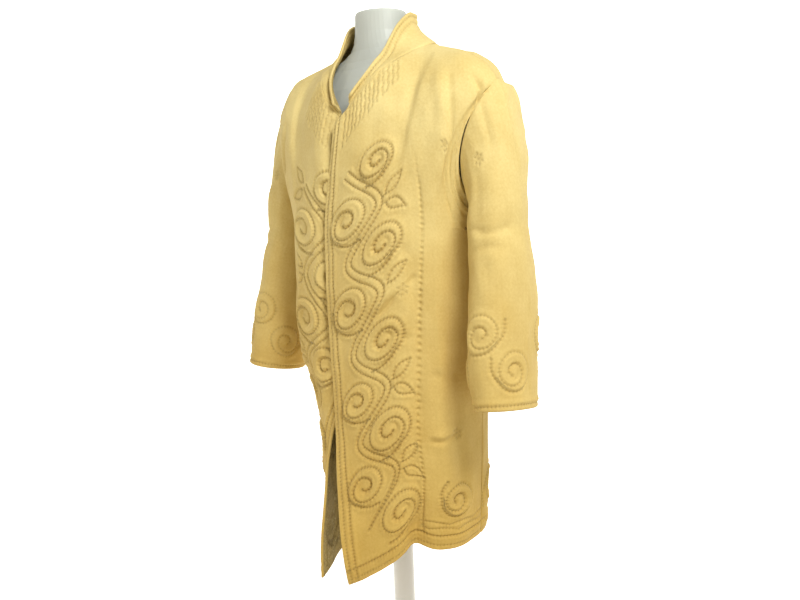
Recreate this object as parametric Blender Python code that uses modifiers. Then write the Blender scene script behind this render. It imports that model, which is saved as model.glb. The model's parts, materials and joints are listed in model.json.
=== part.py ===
"""Quilted wool coat hung on a limbless dress form with a pole and a round base.

The floor is z = 0, the coat's front faces -Y and the wearer's left is +X.
The coat's panels are walls of quilted cloth lofted between measured sections:
rings around the body from the hem to the chest, then curves that run on to the
neckline, the shoulder seams and the armholes. Pieces meet at seams with a small gap.
"""

import math

import bmesh
import bpy
import numpy as np

OBJECT_NAME = "wool_coat"

# Cloth, in metres
WALL = 0.005  # wool, wadding and backing quilted together
LINING = 0.0011
LAYER_GAP = 0.0003
SEAM_PULL = 0.0002  # each piece stops this far short of a seam
CORNER_PULL = 0.0006  # and this much further where three pieces meet
UNDERLAP_INSET = 0.0098  # how far the right front lies under the left one
UNDERLAP_FADE = 0.022
UNDERLAP_END = 0.004  # full depth is reached this far before the left front's edge
UNDERLAP_TOP = 1.33  # height where the underlap is gone

# Rings around the body; SQUARENESS 2 would be a plain ellipse
SQUARENESS = 2.3
SIDE_ANGLE = 95.0  # degrees from the centre front to the side seams
CHEST = 1.06  # the last whole ring; above it the columns run to the top edges

# height, half width left, half width right, depth in front, depth behind
SECTIONS = (
    (0.440, 0.180, 0.170, 0.172, 0.132),
    (0.520, 0.184, 0.176, 0.167, 0.136),
    (0.620, 0.188, 0.190, 0.162, 0.139),
    (0.700, 0.190, 0.200, 0.158, 0.141),
    (0.860, 0.194, 0.209, 0.151, 0.142),
    (1.000, 0.195, 0.208, 0.149, 0.139),
    (1.060, 0.195, 0.206, 0.148, 0.136),
)

# height, x of the left front's edge, x of the right front's edge
FRONT_EDGES = (
    (0.440, 0.027, -0.033),
    (0.520, 0.017, -0.036),
    (0.600, 0.005, -0.042),
    (0.660, -0.009, -0.048),
    (0.720, -0.020, -0.030),
    (0.780, -0.024, -0.004),
    (0.860, -0.029, 0.014),
    (1.000, -0.033, 0.024),
    (1.060, -0.031, 0.026),
)

# angle from the centre front, height of the hem there
HEM = (
    (-180.0, 0.488),
    (-95.0, 0.484),
    (-60.0, 0.468),
    (-36.0, 0.438),
    (-16.0, 0.426),
    (4.0, 0.428),
    (17.0, 0.451),
    (33.0, 0.484),
    (45.0, 0.504),
    (60.0, 0.499),
    (95.0, 0.491),
    (130.0, 0.494),
    (180.0, 0.488),
)
HEM_LEVEL = 0.46  # the lowest row before it follows the hem
HEM_FADE = 0.74  # above this height the rows are level

# centre angle, half width in degrees, depth inwards, height where full, height where gone
FOLDS = (
    ("dart_foot", 45.0, 8.0, 0.022, 0.50, 0.66),
    ("dart", 44.0, 3.2, 0.0045, 0.80, 1.30),
    ("left_edge_forward", 8.0, 12.0, -0.006, 0.45, 0.62),
    ("right_edge_forward", -4.0, 9.0, -0.042, 0.48, 0.74),
    ("right_hollow", -44.0, 22.0, 0.060, 0.64, 0.87),
    ("side_swell_left", 72.0, 12.0, -0.006, 0.50, 0.95),
    ("back_fold_left", 128.0, 13.0, 0.010, 0.50, 0.98),
    ("back_swell", 152.0, 12.0, -0.008, 0.50, 1.00),
    ("back_fold_middle", 176.0, 11.0, 0.009, 0.50, 0.92),
    ("back_fold_right", -142.0, 13.0, 0.011, 0.50, 1.00),
    ("side_fold_right", -108.0, 13.0, 0.009, 0.50, 0.90),
)

# Top edge of a front, from the front edge to the underarm.
# share of the ring, x, y, z, then the way the cloth runs as it gets there
LEFT_FRONT_TOP = (
    ("v_point", 0.000, -0.002, -0.141, 1.259, 0.02, 0.10, 1.00),
    ("collar_start", 0.090, 0.039, -0.131, 1.298, 0.00, 0.30, 1.00),
    ("neck_front", 0.180, 0.073, -0.106, 1.341, -0.20, 0.42, 0.88),
    ("neck_low", 0.270, 0.095, -0.068, 1.367, -0.40, 0.58, 0.70),
    ("neck_side", 0.360, 0.113, -0.012, 1.391, -0.48, 0.80, 0.36),
    ("shoulder_inner", 0.430, 0.158, -0.018, 1.378, -0.18, 0.94, 0.28),
    ("shoulder_outer", 0.520, 0.204, -0.023, 1.362, 0.05, 0.96, 0.24),
    ("shoulder_end", 0.610, 0.258, -0.028, 1.316, 0.30, 0.90, 0.30),
    ("armhole_high", 0.680, 0.246, -0.058, 1.285, 0.60, 0.40, 0.68),
    ("armhole_front", 0.735, 0.226, -0.070, 1.246, 0.55, 0.22, 0.80),
    ("armhole_middle", 0.785, 0.209, -0.067, 1.200, 0.40, 0.16, 0.90),
    ("armhole_low", 0.860, 0.199, -0.045, 1.152, 0.18, 0.08, 0.98),
    ("underarm", 1.000, 0.196, -0.005, 1.130, 0.08, 0.00, 1.00),
)

RIGHT_FRONT_TOP = (
    ("v_point", 0.000, 0.024, -0.131, 1.236, -0.02, 0.10, 1.00),
    ("collar_start", 0.090, -0.020, -0.129, 1.288, 0.00, 0.30, 1.00),
    ("neck_front", 0.180, -0.062, -0.106, 1.338, 0.20, 0.42, 0.88),
    ("neck_low", 0.270, -0.087, -0.068, 1.366, 0.40, 0.58, 0.70),
    ("neck_side", 0.360, -0.111, -0.012, 1.391, 0.48, 0.80, 0.36),
    ("shoulder_inner", 0.430, -0.158, -0.018, 1.378, 0.18, 0.94, 0.28),
    ("shoulder_outer", 0.520, -0.194, -0.023, 1.363, -0.05, 0.96, 0.22),
    ("shoulder_end", 0.610, -0.243, -0.028, 1.310, -0.30, 0.90, 0.30),
    ("armhole_high", 0.680, -0.230, -0.058, 1.282, -0.56, 0.38, 0.72),
    ("armhole_front", 0.735, -0.208, -0.069, 1.244, -0.46, 0.20, 0.86),
    ("armhole_middle", 0.785, -0.201, -0.066, 1.200, -0.30, 0.14, 0.94),
    ("armhole_low", 0.860, -0.203, -0.045, 1.152, -0.10, 0.08, 0.99),
    ("underarm", 1.000, -0.205, -0.005, 1.130, -0.04, 0.00, 1.00),
)

# Left half of the back's top edge, from the underarm to the centre of the neck;
# the shoulder rows repeat the front's shoulder seam
BACK_ARMHOLE = (
    ("underarm", 0.000, 0.196, -0.005, 1.130, 0.08, 0.00, 1.00),
    ("armhole_low", 0.060, 0.200, 0.036, 1.152, 0.20, 0.00, 1.00),
    ("armhole_middle", 0.130, 0.212, 0.060, 1.205, 0.42, -0.05, 0.90),
    ("armhole_back", 0.210, 0.234, 0.063, 1.262, 0.58, -0.30, 0.78),
    ("armhole_high", 0.300, 0.252, 0.038, 1.306, 0.54, -0.84, 0.42),
    ("shoulder_end", 0.400, 0.258, -0.028, 1.316, 0.24, -1.32, -0.16),
)
BACK_NECK = (
    ("neck_side", 0.700, 0.113, -0.012, 1.391, -0.50, -0.80, 0.10),
    ("neck_back_side", 0.800, 0.094, 0.040, 1.401, -0.45, -0.58, 0.68),
    ("neck_back", 0.900, 0.052, 0.070, 1.407, -0.18, -0.45, 0.87),
    ("neck_centre", 1.000, 0.000, 0.079, 1.409, 0.00, -0.40, 0.90),
)

# Top edge of the collar, from its left start round the neck to its right start
COLLAR_TOP = (
    ("left_start", 0.036, -0.1335, 1.3035),
    ("left_front", 0.052, -0.106, 1.346),
    ("left_low", 0.061, -0.066, 1.387),
    ("left_side", 0.066, -0.014, 1.447),
    ("left_back_side", 0.058, 0.022, 1.453),
    ("left_back", 0.036, 0.054, 1.456),
    ("centre", -0.002, 0.064, 1.457),
    ("right_back", -0.042, 0.056, 1.456),
    ("right_back_side", -0.070, 0.028, 1.455),
    ("right_side", -0.073, -0.010, 1.444),
    ("right_low", -0.056, -0.066, 1.384),
    ("right_front", -0.041, -0.106, 1.344),
    ("right_start", -0.012, -0.1315, 1.2935),
)
COLLAR_BULGE = 0.012  # how far the collar hollows inwards between base and top
COLLAR_HEIGHT = 0.06  # where it is lower, it hollows less
COLLAR_ROWS = 4

# Sleeves: centre x, y, z, half width side to side, half width front to back.
# The first row follows the armhole, so it isn't listed.
LEFT_SLEEVE = (
    ("below_armhole", 0.2490, -0.015, 1.080, 0.0460, 0.068),
    ("upper_arm", 0.2560, -0.017, 1.020, 0.0485, 0.072),
    ("elbow", 0.2610, -0.021, 0.950, 0.0500, 0.075),
    ("forearm", 0.2660, -0.034, 0.870, 0.0500, 0.074),
    ("wrist", 0.2740, -0.044, 0.815, 0.0480, 0.070),
    ("cuff", 0.2810, -0.051, 0.776, 0.0470, 0.067),
)
RIGHT_SLEEVE = (
    ("below_armhole", -0.2600, -0.004, 1.080, 0.0460, 0.066),
    ("upper_arm", -0.2660, -0.010, 1.020, 0.0480, 0.069),
    ("elbow", -0.2730, -0.020, 0.950, 0.0490, 0.071),
    ("forearm", -0.2820, -0.036, 0.870, 0.0490, 0.071),
    ("wrist", -0.2880, -0.046, 0.815, 0.0480, 0.069),
    ("cuff", -0.2930, -0.053, 0.776, 0.0470, 0.067),
)
SLEEVE_CAP_ROWS = 7
SLEEVE_TUBE_ROWS = 8
SLEEVE_CAP_REACH = 0.60  # how far the cap follows its first direction, as a share of its length

# Grid sizes
LOWER_ROWS = (0.0, 0.035, 0.085, 0.15, 0.23, 0.32, 0.42, 0.54, 0.68, 0.84, 1.0)
UPPER_ROWS = 8
NECK_COLUMNS = 6
SHOULDER_COLUMNS = 5
ARMHOLE_COLUMNS = 9
BACK_NECK_COLUMNS = 4

# Strip of lining inside the right front
STRIP_FIRST_COLUMN = 1
STRIP_LAST_COLUMN = 8

# Dress form
# height, half width, depth in front, depth behind
FORM_SECTIONS = (
    (0.660, 0.118, 0.078, 0.080),
    (0.672, 0.130, 0.088, 0.090),
    (0.720, 0.148, 0.098, 0.104),
    (0.800, 0.158, 0.102, 0.112),
    (0.880, 0.148, 0.098, 0.104),
    (0.960, 0.124, 0.090, 0.088),
    (1.040, 0.124, 0.096, 0.084),
    (1.120, 0.140, 0.112, 0.088),
    (1.180, 0.152, 0.120, 0.092),
    (1.240, 0.164, 0.110, 0.092),
    (1.290, 0.176, 0.092, 0.084),
    (1.320, 0.177, 0.078, 0.074),
    (1.340, 0.168, 0.067, 0.064),
    (1.356, 0.146, 0.058, 0.056),
    (1.369, 0.116, 0.053, 0.053),
    (1.379, 0.086, 0.051, 0.051),
    (1.389, 0.066, 0.049, 0.050),
    (1.402, 0.055, 0.048, 0.049),
    (1.420, 0.0500, 0.047, 0.048),
    (1.452, 0.0480, 0.0465, 0.0475),
    (1.456, 0.0465, 0.0450, 0.0460),
)
FORM_LIFT = 0.0052  # moves the shoulders of the form up against the coat
FORM_SEGMENTS = 40
NECK_CENTRE_X = -0.005

POLE_RADIUS = 0.0215
POLE_SEGMENTS = 48
BASE_RADIUS = 0.170
BASE_SEGMENTS = 64
BASE_FLOOR = 0.020  # thickness of the base under the pole
# radius, height: the base's outline from the rim to the hub's bore
BASE_OUTLINE = (
    (BASE_RADIUS - 0.002, 0.000),
    (BASE_RADIUS, 0.002),
    (BASE_RADIUS, 0.007),
    (BASE_RADIUS - 0.003, 0.010),
    (0.110, 0.018),
    (0.060, 0.026),
    (0.036, 0.032),
    (0.031, 0.040),
    (0.031, 0.078),
    (0.029, 0.080),
)

# name, base colour, roughness
LOOKS = {
    "wool": ((0.66, 0.47, 0.17, 1.0), 0.85),
    "lining": ((0.47, 0.37, 0.16, 1.0), 0.55),
    "form": ((0.83, 0.84, 0.82, 1.0), 0.35),
    "stand": ((0.80, 0.80, 0.78, 1.0), 0.45),
}


def spline(table, key, column, at):
    """Smooth value of a table's column where its key column reaches a number."""
    keys = [row[key] for row in table]
    values = [row[column] for row in table]
    at = min(max(at, keys[0]), keys[-1])
    i = 0
    while i < len(keys) - 2 and at > keys[i + 1]:
        i += 1
    span = keys[i + 1] - keys[i]
    u = (at - keys[i]) / span

    def slope(k):
        if k == 0:
            return (values[1] - values[0]) / (keys[1] - keys[0])
        if k == len(keys) - 1:
            return (values[k] - values[k - 1]) / (keys[k] - keys[k - 1])
        before = (values[k] - values[k - 1]) / (keys[k] - keys[k - 1])
        after = (values[k + 1] - values[k]) / (keys[k + 1] - keys[k])
        if before * after <= 0.0:
            return 0.5 * (before + after) * 0.5
        return 2.0 * before * after / (before + after)

    a = slope(i) * span
    b = slope(i + 1) * span
    v0 = values[i]
    v1 = values[i + 1]
    return (
        v0 * (2 * u**3 - 3 * u**2 + 1)
        + a * (u**3 - 2 * u**2 + u)
        + v1 * (-2 * u**3 + 3 * u**2)
        + b * (u**3 - u**2)
    )


def smooth_step(low, high, value):
    """0 below low, 1 above high, smooth between; low may be the larger one."""
    u = (value - low) / (high - low)
    u = min(max(u, 0.0), 1.0)
    return u * u * (3.0 - 2.0 * u)


def unit(v):
    """The vector at length 1."""
    return v / max(np.linalg.norm(v), 1e-12)


def power(value, exponent):
    """Power that keeps the sign."""
    return math.copysign(abs(value) ** exponent, value)


def ring_point(angle, height):
    """Point of the coat's outer face at an angle from the centre front."""
    wide = spline(SECTIONS, 0, 1 if angle >= 0.0 else 2, height)
    front = abs(angle) <= 90.0
    deep = spline(SECTIONS, 0, 3 if front else 4, height)
    turn = math.radians(angle)
    x = wide * power(math.sin(turn), 2.0 / SQUARENESS)
    y = -deep * power(math.cos(turn), 2.0 / SQUARENESS)
    out = unit(np.array([x / wide**2, y / deep**2, 0.0]))
    push = 0.0
    for _, centre, width, depth, full, gone in FOLDS:
        away = (angle - centre + 180.0) % 360.0 - 180.0
        strength = smooth_step(gone, full, height)
        push += depth * strength * math.exp(-((away / width) ** 2))
    return np.array([x, y, height]) - out * push


def edge_angle(column, height):
    """Angle at which a front edge's x is reached."""
    x = spline(FRONT_EDGES, 0, column, height)
    wide = spline(SECTIONS, 0, 1 if x >= 0.0 else 2, height)
    return math.degrees(math.asin(power(x / wide, SQUARENESS / 2.0)))


def row_height(share, angle):
    """Height of a lower row, from the sloping hem to the level chest ring."""
    base = HEM_LEVEL + (CHEST - HEM_LEVEL) * share
    hem = spline(HEM, 0, 1, (angle + 180.0) % 360.0 - 180.0)
    fade = smooth_step(HEM_FADE, HEM_LEVEL, base)
    return base + (hem - HEM_LEVEL) * fade


def between(start, start_way, end, end_way, u):
    """Point on a smooth curve that leaves and arrives in given directions."""
    span = np.linalg.norm(end - start)
    a = start_way * span
    b = end_way * span
    return (
        start * (2 * u**3 - 3 * u**2 + 1)
        + a * (u**3 - 2 * u**2 + u)
        + end * (-2 * u**3 + 3 * u**2)
        + b * (u**3 - u**2)
    )


def column_shares(table, first, last, count):
    """Even steps along the top edge between two named rows of its table."""
    names = [row[0] for row in table]
    a = table[names.index(first)][1]
    b = table[names.index(last)][1]
    return [a + (b - a) * i / count for i in range(count + 1)]


def top_point(table, share):
    """Place on a top edge and the way the cloth runs there."""
    place = np.array([spline(table, 1, c, share) for c in (2, 3, 4)])
    way = np.array([spline(table, 1, c, share) for c in (5, 6, 7)])
    return place, way


def front_grid(top_table, edge_column, side):
    """Outer face of a front: rows from the hem up, columns from the edge to the side."""
    shares = column_shares(top_table, "v_point", "neck_side", NECK_COLUMNS)
    shares += column_shares(top_table, "neck_side", "shoulder_end", SHOULDER_COLUMNS)[1:]
    shares += column_shares(top_table, "shoulder_end", "underarm", ARMHOLE_COLUMNS)[1:]
    columns = []
    for share in shares:
        line = []
        for level in LOWER_ROWS:
            guess = HEM_LEVEL + (CHEST - HEM_LEVEL) * level
            start = edge_angle(edge_column, guess)
            angle = start + (side * SIDE_ANGLE - start) * share
            line.append(ring_point(angle, row_height(level, angle)))
        below = line[-1] - line[-2]
        end, way = top_point(top_table, share)
        for step in range(1, UPPER_ROWS + 1):
            u = step / UPPER_ROWS
            line.append(between(line[len(LOWER_ROWS) - 1], unit(below), end, way, u))
        columns.append(line)
    return np.array(columns).transpose(1, 0, 2)


def back_top_table():
    """The back's whole top edge, from the left underarm to the right one."""
    shoulder = [row for row in reversed(LEFT_FRONT_TOP) if row[0].startswith("shoulder")]
    neck = [row for row in LEFT_FRONT_TOP if row[0] == "neck_side"][0]
    start = BACK_ARMHOLE[-1][1]
    stop = BACK_NECK[0][1]
    rows = list(BACK_ARMHOLE)
    for row in shoulder[1:]:
        part = (shoulder[0][1] - row[1]) / (shoulder[0][1] - neck[1])
        share = start + (stop - start) * part
        rows.append((row[0], share, row[2], row[3], row[4], -0.35 * part, -1.10, 0.32 * part - 0.32))
    rows += list(BACK_NECK)
    return rows


def back_grid(left_front, right_front):
    """Outer face of the back; its side and shoulder edges repeat the fronts' points."""
    table = back_top_table()
    half = column_shares(table, "underarm", "shoulder_end", ARMHOLE_COLUMNS)
    half += column_shares(table, "shoulder_end", "neck_side", SHOULDER_COLUMNS)[1:]
    half += column_shares(table, "neck_side", "neck_centre", BACK_NECK_COLUMNS)[1:]
    seam = range(ARMHOLE_COLUMNS, ARMHOLE_COLUMNS + SHOULDER_COLUMNS + 1)
    columns = []
    for side, front in ((1, left_front), (-1, right_front)):
        lines = []
        for index, share in enumerate(half):
            line = []
            for level in LOWER_ROWS:
                angle = side * (SIDE_ANGLE + (180.0 - SIDE_ANGLE) * share)
                line.append(ring_point(angle, row_height(level, angle)))
            below = unit(line[-1] - line[-2])
            end, way = top_point(table, share)
            last = front.shape[1] - 1
            mirror = np.array([side, 1.0, 1.0])
            end = end * mirror
            way = way * mirror
            if index == 0:
                end = front[-1, last]
            if index in seam:
                along = NECK_COLUMNS + SHOULDER_COLUMNS - (index - ARMHOLE_COLUMNS)
                end = front[-1, along]
            for step in range(1, UPPER_ROWS + 1):
                u = step / UPPER_ROWS
                line.append(between(line[len(LOWER_ROWS) - 1], below, end, way, u))
            if index == 0:
                line = [front[r, last] for r in range(front.shape[0])]
            lines.append(line)
        columns.append(lines)
    whole = columns[0] + columns[1][-2::-1]
    return np.array(whole).transpose(1, 0, 2)


def grid_normals(grid, closed=False):
    """Outward normals of a grid whose columns run anticlockwise seen from above."""
    if closed:
        along = np.roll(grid, -1, axis=1) - np.roll(grid, 1, axis=1)
    else:
        along = np.gradient(grid, axis=1)
    up = np.gradient(grid, axis=0)
    normal = np.cross(along, up)
    return normal / np.maximum(np.linalg.norm(normal, axis=2, keepdims=True), 1e-12)


def pull_back(grid, normals, ways, corners=()):
    """Move edges a little into the piece, square to the seam's wall.

    ways names each edge with the rough direction into the piece, one for the whole
    edge or one for each point. At corners, where three pieces meet, the top or
    bottom edge moves further.
    """
    out = grid.copy()
    edges = {
        "first_column": (np.s_[:, 0], np.s_[:, 1]),
        "last_column": (np.s_[:, -1], np.s_[:, -2]),
        "bottom": (np.s_[0], np.s_[1]),
        "top": (np.s_[-1], np.s_[-2]),
    }
    for side, way in ways.items():
        edge, beside = edges[side]
        line = grid[edge]
        along = np.gradient(line, axis=0)
        inward = np.broadcast_to(np.array(way, dtype=float), line.shape)
        for i in range(len(line)):
            square = unit(np.cross(along[i], normals[edge][i]))
            if square @ inward[i] < 0.0:
                square = -square
            out[edge][i] += SEAM_PULL * square
            if i in corners and side in ("top", "bottom"):
                out[edge][i] += CORNER_PULL * unit(grid[beside][i] - line[i])
    return out


def front_ways(side):
    """Rough directions into a front from its top edge and its side seam."""
    top = [(side, -0.3, -1.0)] * NECK_COLUMNS
    top += [(0.0, -1.0, 0.0)] * SHOULDER_COLUMNS
    top += [(-side, 0.0, 0.0)] * (ARMHOLE_COLUMNS + 1)
    return {"last_column": (0.0, -1.0, 0.0), "top": top}


def back_ways():
    """Rough directions into the back from its top edge and its side seams."""
    half = [(-1.0, 0.0, 0.0)] * (ARMHOLE_COLUMNS + 1)
    half += [(0.0, 1.0, 0.0)] * SHOULDER_COLUMNS
    half += [(1.0, 1.0, -1.0)] * (BACK_NECK_COLUMNS - 1)
    mirrored = [(-x, y, z) for x, y, z in reversed(half)]
    top = half + [(0.0, 1.0, -1.0)] + mirrored
    return {"first_column": (0.0, 1.0, 0.0), "last_column": (0.0, 1.0, 0.0), "top": top}


def look(name):
    """One plain material of the table."""
    found = bpy.data.materials.get(name)
    if found:
        return found
    colour, rough = LOOKS[name]
    material = bpy.data.materials.new(name)
    material.use_nodes = True
    shader = material.node_tree.nodes["Principled BSDF"]
    shader.inputs["Base Color"].default_value = colour
    shader.inputs["Roughness"].default_value = rough
    material.diffuse_color = colour
    return material


def add_piece(name, points, faces, look_name, smooth=True):
    """Put a closed mesh into the object's collection."""
    mesh = bpy.data.meshes.new(name)
    mesh.from_pydata([tuple(p) for p in points], [], faces)
    mesh.validate()
    piece = bpy.data.objects.new(name, mesh)
    bpy.data.collections[OBJECT_NAME].objects.link(piece)
    tool = bmesh.new()
    tool.from_mesh(mesh)
    bmesh.ops.recalc_face_normals(tool, faces=tool.faces)
    tool.to_mesh(mesh)
    tool.free()
    for polygon in mesh.polygons:
        polygon.use_smooth = smooth
    mesh.materials.append(look(look_name))
    return piece


def rim(points, p, q, p_in, q_in):
    """Two triangles across the wall; both pieces at a seam are cut the same way."""
    weights = np.array([1.0, 1.7, 2.3])
    if points[p] @ weights < points[q] @ weights:
        return [(p, q, q_in), (p, q_in, p_in)]
    return [(p, q, p_in), (q, q_in, p_in)]


def wall(name, outer, inner, look_name, closed=False):
    """A wall of cloth between two grids of the same size."""
    rows, columns = outer.shape[:2]
    count = rows * columns
    points = np.concatenate([outer.reshape(-1, 3), inner.reshape(-1, 3)])

    def at(layer, r, c):
        return layer * count + r * columns + c % columns

    faces = []
    last = columns if closed else columns - 1
    for r in range(rows - 1):
        for c in range(last):
            for layer in (0, 1):
                a = at(layer, r, c)
                b = at(layer, r, c + 1)
                d = at(layer, r + 1, c)
                e = at(layer, r + 1, c + 1)
                faces.append((a, b, e) if layer == 0 else (a, e, b))
                faces.append((a, e, d) if layer == 0 else (a, d, e))
    for c in range(last):
        for r in (0, rows - 1):
            faces += rim(points, at(0, r, c), at(0, r, c + 1), at(1, r, c), at(1, r, c + 1))
    if not closed:
        for r in range(rows - 1):
            for c in (0, columns - 1):
                faces += rim(points, at(0, r, c), at(0, r + 1, c), at(1, r, c), at(1, r + 1, c))
    return add_piece(name, points, faces, look_name)


def inset_underlap(grid):
    """Push the right front inwards where the left front covers it."""
    out = grid.copy()
    normals = -grid_normals(grid)
    for r in range(grid.shape[0]):
        for c in range(grid.shape[1]):
            x, _, z = grid[r, c]
            if z <= CHEST:
                cover = spline(FRONT_EDGES, 0, 1, z)
            else:
                part = (z - CHEST) / (LEFT_FRONT_TOP[0][4] - CHEST)
                low = FRONT_EDGES[-1][1]
                cover = low + (LEFT_FRONT_TOP[0][2] - low) * min(part, 1.0)
            amount = smooth_step(cover - UNDERLAP_FADE, cover - UNDERLAP_END, x)
            if z > LEFT_FRONT_TOP[0][4]:
                amount *= smooth_step(UNDERLAP_TOP, LEFT_FRONT_TOP[0][4], z)
            way = normals[r, c] * np.array([0.0, 1.0, 0.0])
            out[r, c] -= unit(way) * UNDERLAP_INSET * amount
    return out


def armhole_loop(front, back_columns):
    """Points round an armhole from the shoulder's end down the front and up the back."""
    first = NECK_COLUMNS + SHOULDER_COLUMNS
    points = [front[-1, c] for c in range(first, front.shape[1])]
    points += back_columns[1:-1]
    return np.array(points)


def sleeve_grid(loop, table, side):
    """Outer face of a sleeve: rows from the armhole to the cuff, columns as in the loop."""
    count = len(loop)
    centre = loop.mean(axis=0)
    turns = []
    for point in loop:
        rel = point - centre
        turns.append(math.atan2(-rel[1] / 0.07, (rel[2] + side * rel[0] * 0.35) / 0.10))
    start = turns[0]
    angles = []
    for i, turn in enumerate(turns):
        even = i / count * math.tau
        own = (turn - start) % math.tau
        angles.append(0.5 * even + 0.5 * own)
    marks = [i / (len(table) - 1) for i in range(len(table))]
    keyed = [(mark,) + row[1:] for mark, row in zip(marks, table)]
    tube = []
    for r in range(SLEEVE_TUBE_ROWS + 1):
        at = r / SLEEVE_TUBE_ROWS
        cx, cy, cz, hx, hy = [spline(keyed, 0, c, at) for c in (1, 2, 3, 4, 5)]
        step = 0.01
        ahead = [spline(keyed, 0, c, at + step) for c in (1, 2, 3)]
        behind = [spline(keyed, 0, c, at - step) for c in (1, 2, 3)]
        run = np.array(ahead) - np.array(behind)
        ring = []
        for angle in angles:
            ox = side * hx * math.cos(angle)
            oy = -hy * math.sin(angle)
            tilt = -(run[0] * ox + run[1] * oy) / run[2]
            ring.append([cx + ox, cy + oy, cz + tilt * smooth_step(0.0, 0.4, at)])
        tube.append(ring)
    tube = np.array(tube)
    cap = []
    for r in range(SLEEVE_CAP_ROWS):
        u = r / SLEEVE_CAP_ROWS
        ring = []
        for c in range(count):
            high = 0.5 + 0.5 * math.cos(angles[c])
            leave = unit(np.array([side * (0.42 + 0.08 * high), 0.0, -0.80]))
            leave = leave * SLEEVE_CAP_REACH
            arrive = np.array([0.0, 0.0, -1.0])
            ring.append(between(loop[c], leave, tube[0, c], arrive, u))
        cap.append(ring)
    return np.concatenate([np.array(cap), tube])


def loft_rings(name, rings, look_name):
    """Closed solid through rings with a flat cap at each end."""
    rows, count = rings.shape[:2]
    points = rings.reshape(-1, 3)
    faces = [tuple(range(count - 1, -1, -1))]
    for r in range(rows - 1):
        for c in range(count):
            d = (c + 1) % count
            faces.append((r * count + c, r * count + d, (r + 1) * count + d, (r + 1) * count + c))
    faces.append(tuple(range((rows - 1) * count, rows * count)))
    return add_piece(name, points, faces, look_name)


def form_rings():
    """Rings of the dress form from its flat underside to the flat top of the neck."""
    rings = []
    for height, wide, front, behind in FORM_SECTIONS:
        lift = FORM_LIFT * smooth_step(1.10, 1.30, height)
        shift = NECK_CENTRE_X * smooth_step(1.30, 1.42, height)
        square = 2.0 + 0.35 * smooth_step(1.42, 1.30, height)
        ring = []
        for i in range(FORM_SEGMENTS):
            turn = math.tau * i / FORM_SEGMENTS
            deep = front if math.cos(turn) >= 0.0 else behind
            x = wide * power(math.sin(turn), 2.0 / square)
            y = -deep * power(math.cos(turn), 2.0 / square)
            ring.append([x + shift, y, height + lift])
        rings.append(ring)
    return np.array(rings)


def turned(name, outline, segments, look_name):
    """Solid of revolution made with the Screw modifier."""
    mesh = bpy.data.meshes.new(name)
    points = [(radius, 0.0, height) for radius, height in outline]
    mesh.from_pydata(points, [(i, i + 1) for i in range(len(points) - 1)], [])
    piece = bpy.data.objects.new(name, mesh)
    bpy.data.collections[OBJECT_NAME].objects.link(piece)
    screw = piece.modifiers.new("turn", "SCREW")
    screw.axis = "Z"
    screw.angle = math.tau
    screw.steps = segments
    screw.render_steps = segments
    screw.use_merge_vertices = True
    screw.merge_threshold = 0.00001
    graph = bpy.context.evaluated_depsgraph_get()
    solid = bpy.data.meshes.new_from_object(piece.evaluated_get(graph))
    piece.modifiers.clear()
    piece.data = solid
    solid.name = name
    tool = bmesh.new()
    tool.from_mesh(solid)
    bmesh.ops.remove_doubles(tool, verts=tool.verts, dist=0.00001)
    bmesh.ops.recalc_face_normals(tool, faces=tool.faces)
    tool.to_mesh(solid)
    tool.free()
    solid.materials.clear()
    solid.materials.append(look(look_name))
    for polygon in solid.polygons:
        polygon.use_smooth = abs(polygon.normal.z) < 0.9
    return piece


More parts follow.
